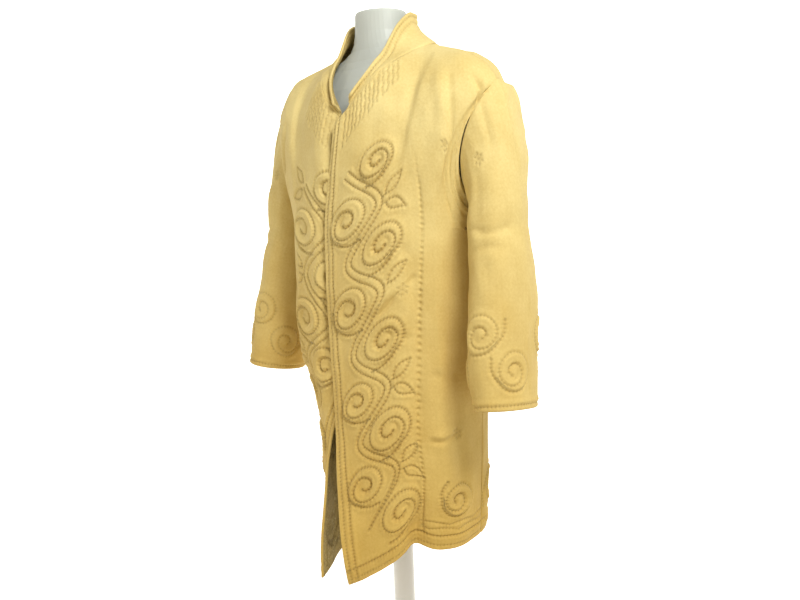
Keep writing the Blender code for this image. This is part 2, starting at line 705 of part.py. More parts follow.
def build_coat():
    """The coat's panels, sleeves, collar and the lining that shows."""
    left = front_grid(LEFT_FRONT_TOP, 1, 1)
    right = front_grid(RIGHT_FRONT_TOP, 2, -1)
    back = back_grid(left, right)
    right = inset_underlap(right)

    left_normals = grid_normals(left)
    right_normals = -grid_normals(right)
    back_normals = grid_normals(back)
    width = back.shape[1]
    first = NECK_COLUMNS + SHOULDER_COLUMNS

    # sleeves grow from the armholes, and the walls that meet share one direction
    sleeves = {}
    sides = (
        ("left", left, left_normals, 1, LEFT_SLEEVE),
        ("right", right, right_normals, -1, RIGHT_SLEEVE),
    )
    for word, front, normals, side, table in sides:
        far = 0 if side > 0 else width - 1
        behind = [back[-1, far + side * c] for c in range(ARMHOLE_COLUMNS + 1)]
        grid = sleeve_grid(armhole_loop(front, behind), table, side)
        sleeve_normals = side * grid_normals(grid, closed=True)
        places = [(normals, first + i) for i in range(ARMHOLE_COLUMNS + 1)]
        places += [(back_normals, far + side * i) for i in range(1, ARMHOLE_COLUMNS)]
        corners = {0: (back_normals, far + side * ARMHOLE_COLUMNS), ARMHOLE_COLUMNS: (back_normals, far)}
        for i, (holder, c) in enumerate(places):
            total = holder[-1, c] + sleeve_normals[0, i]
            if i in corners:
                other, d = corners[i]
                body = unit(holder[-1, c] + other[-1, d])
                total = body + sleeve_normals[0, i]
                other[-1, d] = unit(total)
            holder[-1, c] = unit(total)
            sleeve_normals[0, i] = unit(total)
        sleeves[word] = (grid, sleeve_normals)
        for i in range(1, SHOULDER_COLUMNS):
            c = far + side * (ARMHOLE_COLUMNS + SHOULDER_COLUMNS - i)
            shared = unit(normals[-1, NECK_COLUMNS + i] + back_normals[-1, c])
            normals[-1, NECK_COLUMNS + i] = shared
            back_normals[-1, c] = shared
        for r in range(normals.shape[0] - 1):
            shared = unit(normals[r, -1] + back_normals[r, far])
            normals[r, -1] = shared
            back_normals[r, far] = shared

    # collar: base on the neckline, top from its own table
    start = 1
    neck_left = [left[-1, c] for c in range(start, NECK_COLUMNS + 1)]
    low = ARMHOLE_COLUMNS + SHOULDER_COLUMNS
    neck_back = [back[-1, c] for c in range(low, width - low)]
    neck_right = [right[-1, c] for c in range(NECK_COLUMNS, start - 1, -1)]
    base = np.array(neck_left + neck_back[1:-1] + neck_right)
    keyed = []
    for i, row in enumerate(COLLAR_TOP):
        keyed.append((i / (len(COLLAR_TOP) - 1),) + row[1:])
    count = len(base)
    steps = collar_steps(base)
    top = np.array([[spline(keyed, 0, c, s) for c in (1, 2, 3)] for s in steps])
    collar = []
    for r in range(COLLAR_ROWS + 1):
        u = r / COLLAR_ROWS
        ring = base * (1.0 - u) + top * u
        for c in range(count):
            away = ring[c] * np.array([1.0, 1.0, 0.0])
            height = np.linalg.norm(top[c] - base[c])
            ring[c] = ring[c] - unit(away) * COLLAR_BULGE * math.sin(math.pi * u) * min(height / COLLAR_HEIGHT, 1.0)
        collar.append(ring)
    collar = np.array(collar)
    collar_normals = grid_normals(collar)
    collar_normals[:, 0] = collar_normals[:, 1]
    collar_normals[:, -1] = collar_normals[:, -2]

    # neckline: one direction for panel and collar
    for c in range(count):
        if c < len(neck_left):
            here = left_normals[-1, start + c]
        elif c >= count - len(neck_right):
            here = right_normals[-1, start + (count - 1 - c)]
        else:
            here = back_normals[-1, low + (c - len(neck_left)) + 1]
        shared = unit(unit(here) + collar_normals[0, c])
        collar_normals[0, c] = shared
        if c < len(neck_left):
            left_normals[-1, start + c] = shared
        if c >= count - len(neck_right):
            right_normals[-1, start + (count - 1 - c)] = shared
        if len(neck_left) - 1 <= c <= count - len(neck_right):
            back_normals[-1, low + (c - len(neck_left)) + 1] = shared

    corners = (NECK_COLUMNS, NECK_COLUMNS + SHOULDER_COLUMNS, left.shape[1] - 1)
    back_corners = (0, ARMHOLE_COLUMNS, low, width - 1 - low, width - 1 - ARMHOLE_COLUMNS, width - 1)
    collar_corners = (len(neck_left) - 1, count - len(neck_right))
    outer = pull_back(left, left_normals, front_ways(1), corners)
    wall("front_left", outer, outer - left_normals * WALL, "wool")
    outer = pull_back(right, right_normals, front_ways(-1), corners)
    wall("front_right", outer, outer - right_normals * WALL, "wool")
    outer = pull_back(back, back_normals, back_ways(), back_corners)
    wall("back", outer, outer - back_normals * WALL, "wool")

    outer = pull_back(collar, collar_normals, {"bottom": (0.0, 0.0, 1.0)}, collar_corners)
    wall("collar", outer, outer - collar_normals * WALL, "wool")
    face = collar - collar_normals * (WALL + LAYER_GAP)
    under = collar - collar_normals * (WALL + LAYER_GAP + LINING)
    trim = slice(1, count - 1)
    wall("collar_lining", face[:, trim], under[:, trim], "lining")

    face = right - right_normals * (WALL + LAYER_GAP)
    under = right - right_normals * (WALL + LAYER_GAP + LINING)
    strip = slice(STRIP_FIRST_COLUMN, STRIP_LAST_COLUMN + 1)
    rows = slice(1, len(LOWER_ROWS) + UPPER_ROWS - 1)
    wall("front_right_lining", face[rows, strip], under[rows, strip], "lining")

    for word, side in (("left", 1.0), ("right", -1.0)):
        grid, normals = sleeves[word]
        outer = pull_back(grid, normals, {"bottom": (side, 0.0, 0.0)}, (0, ARMHOLE_COLUMNS))
        wall("sleeve_" + word, outer, outer - normals * WALL, "wool", closed=True)


def collar_steps(base):
    """Where each column of the collar meets its top edge, by length along the neckline."""
    lengths = [0.0]
    for i in range(1, len(base)):
        lengths.append(lengths[-1] + np.linalg.norm(base[i] - base[i - 1]))
    return [length / lengths[-1] for length in lengths]


def build_form():
    """The dress form, its pole and the round base."""
    body = loft_rings("form_body", form_rings(), "form")
    bottom = FORM_SECTIONS[0][0] - LAYER_GAP
    foot = BASE_FLOOR + LAYER_GAP
    outline = ((0.0, foot), (POLE_RADIUS, foot), (POLE_RADIUS, bottom), (0.0, bottom))
    turned("form_pole", outline, POLE_SEGMENTS, "stand")
    bore = POLE_RADIUS + LAYER_GAP
    edge = ((0.0, 0.0),) + BASE_OUTLINE + ((bore, 0.080), (bore, BASE_FLOOR), (0.0, BASE_FLOOR))
    turned("form_base", edge, BASE_SEGMENTS, "stand")
    return body


def main():
    """Clear the file and build the object."""
    for thing in list(bpy.data.objects):
        bpy.data.objects.remove(thing)
    collection = bpy.data.collections.new(OBJECT_NAME)
    bpy.context.scene.collection.children.link(collection)
    build_form()
    build_coat()


main()
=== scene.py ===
"""The quilted wool coat as it hangs on its form: cloth, quilting, stitches, lining and light.

Every panel is a dense grid on the coat's own surface, in metres: u runs across the panel
and v runs up it. Quilting lines are laid out in u and v, and the cloth sinks at each of
them, puffs up between them and puckers at each stitch.
"""

import json
import logging
import math
from collections.abc import Sequence
from dataclasses import dataclass, field
from enum import Enum

import bpy
import numpy as np
from mathutils import Matrix, Vector
from mathutils.kdtree import KDTree

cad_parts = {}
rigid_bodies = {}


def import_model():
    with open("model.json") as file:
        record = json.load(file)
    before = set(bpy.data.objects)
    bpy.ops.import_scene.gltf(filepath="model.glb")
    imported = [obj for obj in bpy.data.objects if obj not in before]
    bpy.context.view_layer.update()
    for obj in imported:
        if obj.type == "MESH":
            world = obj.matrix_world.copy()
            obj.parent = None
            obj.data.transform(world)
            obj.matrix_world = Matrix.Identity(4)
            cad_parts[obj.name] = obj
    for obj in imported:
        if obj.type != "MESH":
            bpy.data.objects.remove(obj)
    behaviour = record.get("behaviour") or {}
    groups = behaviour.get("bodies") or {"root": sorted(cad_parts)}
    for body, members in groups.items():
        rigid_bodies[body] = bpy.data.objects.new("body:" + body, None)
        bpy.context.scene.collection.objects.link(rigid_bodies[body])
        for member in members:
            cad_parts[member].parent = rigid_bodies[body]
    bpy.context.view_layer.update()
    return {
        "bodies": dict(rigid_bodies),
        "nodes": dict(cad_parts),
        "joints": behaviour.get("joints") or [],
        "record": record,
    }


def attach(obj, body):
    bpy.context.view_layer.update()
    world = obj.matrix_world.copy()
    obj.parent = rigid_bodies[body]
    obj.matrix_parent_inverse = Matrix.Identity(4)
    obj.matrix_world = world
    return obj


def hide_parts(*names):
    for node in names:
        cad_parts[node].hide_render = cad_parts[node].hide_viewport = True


log = logging.getLogger("coat")

Row = tuple[float, ...]
Grid = np.ndarray

WALL = 0.005  # thickness of the cloth

# Where the left front covers the right one, in metres
UNDERLAP_INSET = 0.0098
UNDERLAP_FADE = 0.022
UNDERLAP_END = 0.004
UNDERLAP_TOP = 1.33

# Quilting, in metres
STITCH_PITCH = 0.0066
SAMPLES_A_STITCH = 5
SAMPLE_HALF = 0.55  # share of a sample's step that counts as its own
GROOVE_WIDTH = 0.0021
GROOVE_DEPTH = 0.0021
BULGE_AT = 0.0055
BULGE_WIDTH = 0.0044
PUCKER_AT = 0.0042
PUCKER_WIDTH = 0.0034
PUCKER_DEPTH = 0.0011
SCROLL_POINTS = 260
SCROLL_TURNS = (-0.30, -0.15, 0.0, 0.70, 1.10, 1.45, 2.05)
SCROLL_REACH = (2.10, 1.36, 1.0, 0.97, 0.74, 0.46, 0.24)  # shares of a scroll's radius
RING_MIDDLE = 0.72  # share of a scroll's radius
RING_HALF = 0.34
RING_ROUND = 0.8
RING_HEIGHT = 0.0044
HEART_WIDTH = 0.22  # of the small pad in its middle
HEART_SHARE = 0.55
EDGE_CALM = 0.012
EDGE_SHARE = 0.25  # of the relief, kept at the very edge
CREASE_SHARE = 1.4
CREASE_STEPS = 24
SHORT_ENDS = 0.2  # a crease that fades over less keeps LEAST_FADE at its ends
LEAST_FADE = 0.15
DITCH_DEPTH = 0.0016
DITCH_WIDTH = 0.0022
RIM_STEPS = 5
RIM_RUN = 0.002  # panel coordinate that one rim step takes up
RIM_PULL = 0.3
THREAD_LIFT = 0.0002

# Slow unevenness of the cloth: waves a metre across and up, share of the swell
SWELLS = (
    (38.0, 11.0, 0.9),
    (71.0, -17.0, 0.5),
    (23.0, 52.0, 0.45),
    (118.0, 29.0, 0.28),
    (64.0, 96.0, 0.22),
    (171.0, -83.0, 0.14),
)
SWELL_SHIFT = 1.7  # of each wave against the one before, times the panel's seed
SWELL_BEND = 1.3
SWELL_SLOW = 0.6

# Beside a line, in millimetres
SIDE_CLIP = 8.0
AWAY_CLIP = 20.0
PIT_WIDTH = 0.95
GROOVE_SPREAD = 1.5
STROKE_AT = 2.2
STROKE_SPREAD = 1.3
STITCH_REACH = (4.3, 3.2)  # where the detail is gone, where it is whole
SOFT_WIDTH = 3.4
SOFT_SHADE = 0.07

# Painted shadow of a stitch hole, the groove and a pucker, and their depths in millimetres
STITCH_PAINTED_SHADOWS = (0.40, 0.07, 0.12)
STITCH_DEPTHS = (0.80, 0.45, 0.45)
WAVES_A_METRE = 20.0  # of a wave texture at scale 1

# Rings around the body; SQUARENESS 2 would be a plain ellipse
SQUARENESS = 2.3
SIDE_ANGLE = 95.0  # degrees from the centre front to the side seams
CHEST = 1.06  # the last whole ring; above it the columns run to the top edges

# height, half width left, half width right, depth in front, depth behind
SECTIONS = (
    (0.440, 0.180, 0.170, 0.172, 0.132),
    (0.520, 0.184, 0.176, 0.167, 0.136),
    (0.620, 0.188, 0.190, 0.162, 0.139),
    (0.700, 0.190, 0.200, 0.158, 0.141),
    (0.860, 0.194, 0.209, 0.151, 0.142),
    (1.000, 0.195, 0.208, 0.149, 0.139),
    (1.060, 0.195, 0.206, 0.148, 0.136),
)

# height, x of the left front's edge, x of the right front's edge
FRONT_EDGES = (
    (0.440, 0.027, -0.033),
    (0.520, 0.017, -0.036),
    (0.600, 0.005, -0.042),
    (0.660, -0.009, -0.048),
    (0.720, -0.020, -0.030),
    (0.780, -0.024, -0.004),
    (0.860, -0.029, 0.014),
    (1.000, -0.033, 0.024),
    (1.060, -0.031, 0.026),
)

# angle from the centre front, height of the hem there
HEM = (
    (-180.0, 0.488),
    (-95.0, 0.484),
    (-60.0, 0.468),
    (-36.0, 0.438),
    (-16.0, 0.426),
    (4.0, 0.428),
    (17.0, 0.451),
    (33.0, 0.484),
    (45.0, 0.504),
    (60.0, 0.499),
    (95.0, 0.491),
    (130.0, 0.494),
    (180.0, 0.488),
)
HEM_LEVEL = 0.46  # the lowest row before it follows the hem
HEM_FADE = 0.74  # above this height the rows are level

# centre angle, half width in degrees, depth inwards, height where full, height where gone
FOLDS = (
    ("dart_foot", 45.0, 8.0, 0.022, 0.50, 0.66),
    ("dart", 44.0, 3.2, 0.0045, 0.80, 1.30),
    ("left_edge_forward", 8.0, 12.0, -0.006, 0.45, 0.62),
    ("right_edge_forward", -4.0, 9.0, -0.042, 0.48, 0.74),
    ("right_hollow", -44.0, 22.0, 0.060, 0.64, 0.87),
    ("side_swell_left", 72.0, 12.0, -0.006, 0.50, 0.95),
    ("back_fold_left", 128.0, 13.0, 0.010, 0.50, 0.98),
    ("back_swell", 152.0, 12.0, -0.008, 0.50, 1.00),
    ("back_fold_middle", 176.0, 11.0, 0.009, 0.50, 0.92),
    ("back_fold_right", -142.0, 13.0, 0.011, 0.50, 1.00),
    ("side_fold_right", -108.0, 13.0, 0.009, 0.50, 0.90),
)

# Top edge of a front, from the front edge to the underarm.
# share of the ring, x, y, z, then the way the cloth runs as it gets there
LEFT_FRONT_TOP = (
    ("v_point", 0.000, -0.002, -0.141, 1.259, 0.02, 0.10, 1.00),
    ("collar_start", 0.090, 0.039, -0.131, 1.298, 0.00, 0.30, 1.00),
    ("neck_front", 0.180, 0.073, -0.106, 1.341, -0.20, 0.42, 0.88),
    ("neck_low", 0.270, 0.095, -0.068, 1.367, -0.40, 0.58, 0.70),
    ("neck_side", 0.360, 0.113, -0.012, 1.391, -0.48, 0.80, 0.36),
    ("shoulder_inner", 0.430, 0.158, -0.018, 1.378, -0.18, 0.94, 0.28),
    ("shoulder_outer", 0.520, 0.204, -0.023, 1.362, 0.05, 0.96, 0.24),
    ("shoulder_end", 0.610, 0.258, -0.028, 1.316, 0.30, 0.90, 0.30),
    ("armhole_high", 0.680, 0.246, -0.058, 1.285, 0.60, 0.40, 0.68),
    ("armhole_front", 0.735, 0.226, -0.070, 1.246, 0.55, 0.22, 0.80),
    ("armhole_middle", 0.785, 0.209, -0.067, 1.200, 0.40, 0.16, 0.90),
    ("armhole_low", 0.860, 0.199, -0.045, 1.152, 0.18, 0.08, 0.98),
    ("underarm", 1.000, 0.196, -0.005, 1.130, 0.08, 0.00, 1.00),
)

RIGHT_FRONT_TOP = (
    ("v_point", 0.000, 0.024, -0.131, 1.236, -0.02, 0.10, 1.00),
    ("collar_start", 0.090, -0.020, -0.129, 1.288, 0.00, 0.30, 1.00),
    ("neck_front", 0.180, -0.062, -0.106, 1.338, 0.20, 0.42, 0.88),
    ("neck_low", 0.270, -0.087, -0.068, 1.366, 0.40, 0.58, 0.70),
    ("neck_side", 0.360, -0.111, -0.012, 1.391, 0.48, 0.80, 0.36),
    ("shoulder_inner", 0.430, -0.158, -0.018, 1.378, 0.18, 0.94, 0.28),
    ("shoulder_outer", 0.520, -0.194, -0.023, 1.363, -0.05, 0.96, 0.22),
    ("shoulder_end", 0.610, -0.243, -0.028, 1.310, -0.30, 0.90, 0.30),
    ("armhole_high", 0.680, -0.230, -0.058, 1.282, -0.56, 0.38, 0.72),
    ("armhole_front", 0.735, -0.208, -0.069, 1.244, -0.46, 0.20, 0.86),
    ("armhole_middle", 0.785, -0.201, -0.066, 1.200, -0.30, 0.14, 0.94),
    ("armhole_low", 0.860, -0.203, -0.045, 1.152, -0.10, 0.08, 0.99),
    ("underarm", 1.000, -0.205, -0.005, 1.130, -0.04, 0.00, 1.00),
)

# Left half of the back's top edge, from the underarm to the centre of the neck;
# the shoulder rows repeat the front's shoulder seam
BACK_ARMHOLE = (
    ("underarm", 0.000, 0.196, -0.005, 1.130, 0.08, 0.00, 1.00),
    ("armhole_low", 0.060, 0.200, 0.036, 1.152, 0.20, 0.00, 1.00),
    ("armhole_middle", 0.130, 0.212, 0.060, 1.205, 0.42, -0.05, 0.90),
    ("armhole_back", 0.210, 0.234, 0.063, 1.262, 0.58, -0.30, 0.78),
    ("armhole_high", 0.300, 0.252, 0.038, 1.306, 0.54, -0.84, 0.42),
    ("shoulder_end", 0.400, 0.258, -0.028, 1.316, 0.24, -1.32, -0.16),
)
BACK_NECK = (
    ("neck_side", 0.700, 0.113, -0.012, 1.391, -0.50, -0.80, 0.10),
    ("neck_back_side", 0.800, 0.094, 0.040, 1.401, -0.45, -0.58, 0.68),
    ("neck_back", 0.900, 0.052, 0.070, 1.407, -0.18, -0.45, 0.87),
    ("neck_centre", 1.000, 0.000, 0.079, 1.409, 0.00, -0.40, 0.90),
)

# Top edge of the collar, from its left start round the neck to its right start
COLLAR_TOP = (
    ("left_start", 0.036, -0.1335, 1.3035),
    ("left_front", 0.052, -0.106, 1.346),
    ("left_low", 0.061, -0.066, 1.387),
    ("left_side", 0.066, -0.014, 1.447),
    ("left_back_side", 0.058, 0.022, 1.453),
    ("left_back", 0.036, 0.054, 1.456),
    ("centre", -0.002, 0.064, 1.457),
    ("right_back", -0.042, 0.056, 1.456),
    ("right_back_side", -0.070, 0.028, 1.455),
    ("right_side", -0.073, -0.010, 1.444),
    ("right_low", -0.056, -0.066, 1.384),
    ("right_front", -0.041, -0.106, 1.344),
    ("right_start", -0.012, -0.1315, 1.2935),
)
COLLAR_BULGE = 0.012  # how far the collar hollows inwards between base and top
COLLAR_HEIGHT = 0.06  # where it is lower, it hollows less
COLLAR_ROWS = 4

# Sleeves: centre x, y, z, half width side to side, half width front to back.
# The first row follows the armhole, so it isn't listed.
LEFT_SLEEVE = (
    ("below_armhole", 0.2490, -0.015, 1.080, 0.0460, 0.068),
    ("upper_arm", 0.2560, -0.017, 1.020, 0.0485, 0.072),
    ("elbow", 0.2610, -0.021, 0.950, 0.0500, 0.075),
    ("forearm", 0.2660, -0.034, 0.870, 0.0500, 0.074),
    ("wrist", 0.2740, -0.044, 0.815, 0.0480, 0.070),
    ("cuff", 0.2810, -0.051, 0.776, 0.0470, 0.067),
)
RIGHT_SLEEVE = (
    ("below_armhole", -0.2600, -0.004, 1.080, 0.0460, 0.066),
    ("upper_arm", -0.2660, -0.010, 1.020, 0.0480, 0.069),
    ("elbow", -0.2730, -0.020, 0.950, 0.0490, 0.071),
    ("forearm", -0.2820, -0.036, 0.870, 0.0490, 0.071),
    ("wrist", -0.2880, -0.046, 0.815, 0.0480, 0.069),
    ("cuff", -0.2930, -0.053, 0.776, 0.0470, 0.067),
)
SLEEVE_CAP_ROWS = 7
SLEEVE_TUBE_ROWS = 8
SLEEVE_CAP_REACH = 0.60  # how far the cap follows its first direction, as a share of its length
SLEEVE_LEAVE = (0.42, 0.08, -0.80)  # that direction: outwards, more so at the top, and down
SLEEVE_TILT = 0.4  # share of the tube over which its rings turn square to it
SLEEVE_LOOK = 0.01  # share of the tube over which its way is measured

# Shape of an armhole that its columns are spread by
ARMHOLE_HALF = 0.07
ARMHOLE_TALL = 0.10
ARMHOLE_LEAN = 0.35

# Grid sizes
LOWER_ROWS = (0.0, 0.035, 0.085, 0.15, 0.23, 0.32, 0.42, 0.54, 0.68, 0.84, 1.0)
UPPER_ROWS = 8
NECK_COLUMNS = 6
SHOULDER_COLUMNS = 5
ARMHOLE_COLUMNS = 9
BACK_NECK_COLUMNS = 4


def spline(table: Sequence[Row], key: int, column: int, at: float) -> float:
    """Read a table's column smoothly.

    Args:
        table: rows in rising order of their key column.
        key: index of the key column.
        column: index of the column that is read.
        at: key value.

    Returns:
        The value there, on a smooth line through the rows.
    """
    keys = [row[key] for row in table]
    values = [row[column] for row in table]
    at = min(max(at, keys[0]), keys[-1])
    i = 0
    while i < len(keys) - 2 and at > keys[i + 1]:
        i += 1
    span = keys[i + 1] - keys[i]
    u = (at - keys[i]) / span

    def slope(k: int) -> float:
        if k == 0:
            return (values[1] - values[0]) / (keys[1] - keys[0])
        if k == len(keys) - 1:
            return (values[k] - values[k - 1]) / (keys[k] - keys[k - 1])
        before = (values[k] - values[k - 1]) / (keys[k] - keys[k - 1])
        after = (values[k + 1] - values[k]) / (keys[k + 1] - keys[k])
        if before * after <= 0.0:
            return 0.25 * (before + after)
        return 2.0 * before * after / (before + after)

    return hermite(values[i], slope(i) * span, values[i + 1], slope(i + 1) * span, u)


def hermite(start: Grid, start_slope: Grid, end: Grid, end_slope: Grid, u: float) -> Grid:
    """Read a cubic with given ends and slopes.

    Args:
        start: first value or point.
        start_slope: slope there, over the whole span.
        end: last value or point.
        end_slope: slope there.
        u: share of the way, 0 to 1.

    Returns:
        The value or point.
    """
    return (
        start * (2 * u**3 - 3 * u**2 + 1)
        + start_slope * (u**3 - 2 * u**2 + u)
        + end * (-2 * u**3 + 3 * u**2)
        + end_slope * (u**3 - u**2)
    )


def smooth_step(low: float, high: float, value: Grid) -> Grid:
    """Rise smoothly from 0 at low to 1 at high.

    Args:
        low: value where the result is 0; may be the larger of the two.
        high: value where the result is 1.
        value: a number or an array.

    Returns:
        The share, of the same shape as value.
    """
    u = np.clip((value - low) / (high - low), 0.0, 1.0)
    return u * u * (3.0 - 2.0 * u)


def unit(v: Grid) -> Grid:
    """Scale vectors to length 1.

    Args:
        v: one vector, or an array whose last axis holds the vectors.

    Returns:
        The same directions at length 1.
    """
    return v / np.maximum(np.linalg.norm(v, axis=-1, keepdims=True), 1e-12)


def power(value: float, exponent: float) -> float:
    """Raise a number to a power and keep its sign.

    Args:
        value: any number.
        exponent: the power.

    Returns:
        The signed power.
    """
    return math.copysign(abs(value) ** exponent, value)


def between(start: Grid, start_way: Grid, end: Grid, end_way: Grid, u: float) -> Grid:
    """Follow a smooth curve that leaves and arrives in given directions.

    Args:
        start: first point.
        start_way: direction on leaving, length 1 for an easy bend.
        end: last point.
        end_way: direction on arriving.
        u: share of the way, 0 to 1.

    Returns:
        The point there.
    """
    span = np.linalg.norm(end - start)
    return hermite(start, start_way * span, end, end_way * span, u)


def grid_normals(grid: Grid, closed: bool = False) -> Grid:
    """Normals of a grid of points.

    Args:
        grid: rows by columns of points.
        closed: whether the last column meets the first one.

    Returns:
        One normal a point; outward if the columns run anticlockwise from above.
    """
    if closed:
        along = np.roll(grid, -1, axis=1) - np.roll(grid, 1, axis=1)
    else:
        along = np.gradient(grid, axis=1)
    return unit(np.cross(along, np.gradient(grid, axis=0)))


def grid_quads(shape: tuple[int, int], closed: bool) -> Grid:
    """Faces of a grid of points.

    Args:
        shape: number of rows and of columns.
        closed: whether the last column is the first one again.

    Returns:
        Four indices a face.
    """
    index = np.arange(shape[0] * shape[1]).reshape(shape)
    if closed:
        index[:, -1] = index[:, 0]
    corners = [index[:-1, :-1], index[:-1, 1:], index[1:, 1:], index[1:, :-1]]
    return np.stack(corners, axis=2).reshape(-1, 4)


@dataclass
class CoatShape:
    """The coat's outer face as coarse grids, one a panel, rows from the hem or armhole."""

    fronts: dict[int, Grid] = field(default_factory=dict)
    back: Grid | None = None
    sleeves: dict[int, Grid] = field(default_factory=dict)
    collar: Grid | None = None

    def build(self) -> None:
        """Work out every panel's grid from the tables."""
        self.fronts[1] = self.front(LEFT_FRONT_TOP, 1, 1)
        self.fronts[-1] = self.front(RIGHT_FRONT_TOP, 2, -1)
        self.back = self.back_grid()
        self.fronts[-1] = self.under_left(self.fronts[-1])
        first = NECK_COLUMNS + SHOULDER_COLUMNS
        width = self.back.shape[1]
        for side, table in ((1, LEFT_SLEEVE), (-1, RIGHT_SLEEVE)):
            far = 0 if side > 0 else width - 1
            front = self.fronts[side]
            loop = [front[-1, c] for c in range(first, front.shape[1])]
            loop += [self.back[-1, far + side * c] for c in range(1, ARMHOLE_COLUMNS)]
            self.sleeves[side] = self.sleeve(np.array(loop), table, side)
        self.collar = self.collar_grid()

    @staticmethod
    def ring_point(angle: float, height: float) -> Grid:
        """Point on the ring around the body.

        Args:
            angle: degrees from the centre front, positive to the wearer's left.
            height: metres above the floor.

        Returns:
            The point.
        """
        wide = spline(SECTIONS, 0, 1 if angle >= 0.0 else 2, height)
        deep = spline(SECTIONS, 0, 3 if abs(angle) <= 90.0 else 4, height)
        turn = math.radians(angle)
        x = wide * power(math.sin(turn), 2.0 / SQUARENESS)
        y = -deep * power(math.cos(turn), 2.0 / SQUARENESS)
        push = 0.0
        for _, centre, width, depth, full, gone in FOLDS:
            away = (angle - centre + 180.0) % 360.0 - 180.0
            push += depth * smooth_step(gone, full, height) * math.exp(-((away / width) ** 2))
        return np.array([x, y, height]) - unit(np.array([x / wide**2, y / deep**2, 0.0])) * push

    @staticmethod
    def edge_angle(column: int, height: float) -> float:
        """Angle at which a front edge's x is reached.

        Args:
            column: column of FRONT_EDGES.
            height: metres above the floor.

        Returns:
            Degrees from the centre front.
        """
        x = spline(FRONT_EDGES, 0, column, height)
        wide = spline(SECTIONS, 0, 1 if x >= 0.0 else 2, height)
        return math.degrees(math.asin(power(x / wide, SQUARENESS / 2.0)))

    @staticmethod
    def row_height(share: float, angle: float) -> float:
        """Height of a lower row, from the sloping hem to the level chest ring.

        Args:
            share: 0 at the hem, 1 at the chest.
            angle: degrees from the centre front.

        Returns:
            Metres above the floor.
        """
        base = HEM_LEVEL + (CHEST - HEM_LEVEL) * share
        hem = spline(HEM, 0, 1, (angle + 180.0) % 360.0 - 180.0)
        return base + (hem - HEM_LEVEL) * smooth_step(HEM_FADE, HEM_LEVEL, base)

    @staticmethod
    def shares(table: Sequence[Row], first: str, last: str, count: int) -> list[float]:
        """Even steps along a top edge.

        Args:
            table: the top edge's rows.
            first: name of the row to start at.
            last: name of the row to stop at.
            count: number of steps.

        Returns:
            count + 1 shares of the edge.
        """
        names = [row[0] for row in table]
        a = table[names.index(first)][1]
        b = table[names.index(last)][1]
        return [a + (b - a) * i / count for i in range(count + 1)]

    @staticmethod
    def top_point(table: Sequence[Row], share: float) -> tuple[Grid, Grid]:
        """Place on a top edge and the way the cloth runs there.

        Args:
            table: the top edge's rows.
            share: place along it.

        Returns:
            The point and the direction.
        """
        place = np.array([spline(table, 1, c, share) for c in (2, 3, 4)])
        return place, np.array([spline(table, 1, c, share) for c in (5, 6, 7)])

    def column(self, angles: Sequence[float], end: Grid, way: Grid) -> list[Grid]:
        """Column of a panel, from the hem to its top edge.

        Args:
            angles: degrees from the centre front, one a lower row.
            end: the top edge's point.
            way: the way the cloth runs there.

        Returns:
            Its points.
        """
        line = [self.ring_point(a, self.row_height(s, a)) for s, a in zip(LOWER_ROWS, angles)]
        chest, below = line[-1], unit(line[-1] - line[-2])
        for step in range(1, UPPER_ROWS + 1):
            line.append(between(chest, below, end, way, step / UPPER_ROWS))
        return line

    def front(self, table: Sequence[Row], column: int, side: int) -> Grid:
        """Grid of a front, columns from its edge to the side seam.

        Args:
            table: its top edge.
            column: its column of FRONT_EDGES.
            side: 1 for the wearer's left, -1 for the right.

        Returns:
            Rows by columns of points.
        """
        shares = self.shares(table, "v_point", "neck_side", NECK_COLUMNS)
        shares += self.shares(table, "neck_side", "shoulder_end", SHOULDER_COLUMNS)[1:]
        shares += self.shares(table, "shoulder_end", "underarm", ARMHOLE_COLUMNS)[1:]
        heights = [HEM_LEVEL + (CHEST - HEM_LEVEL) * level for level in LOWER_ROWS]
        starts = [self.edge_angle(column, height) for height in heights]
        columns = []
        for share in shares:
            angles = [start + (side * SIDE_ANGLE - start) * share for start in starts]
            columns.append(self.column(angles, *self.top_point(table, share)))
        return np.array(columns).transpose(1, 0, 2)

    @staticmethod
    def back_top() -> list[Row]:
        """Top edge of the back's left half, from the underarm to the neck's centre.

        Returns:
            Its rows; the shoulder repeats the front's seam.
        """
        shoulder = [row for row in reversed(LEFT_FRONT_TOP) if row[0].startswith("shoulder")]
        neck = [row for row in LEFT_FRONT_TOP if row[0] == "neck_side"][0]
        start = BACK_ARMHOLE[-1][1]
        stop = BACK_NECK[0][1]
        rows = list(BACK_ARMHOLE)
        for row in shoulder[1:]:
            part = (shoulder[0][1] - row[1]) / (shoulder[0][1] - neck[1])
            share = start + (stop - start) * part
            way = (-0.35 * part, -1.10, 0.32 * part - 0.32)
            rows.append((row[0], share, row[2], row[3], row[4]) + way)
        return rows + list(BACK_NECK)

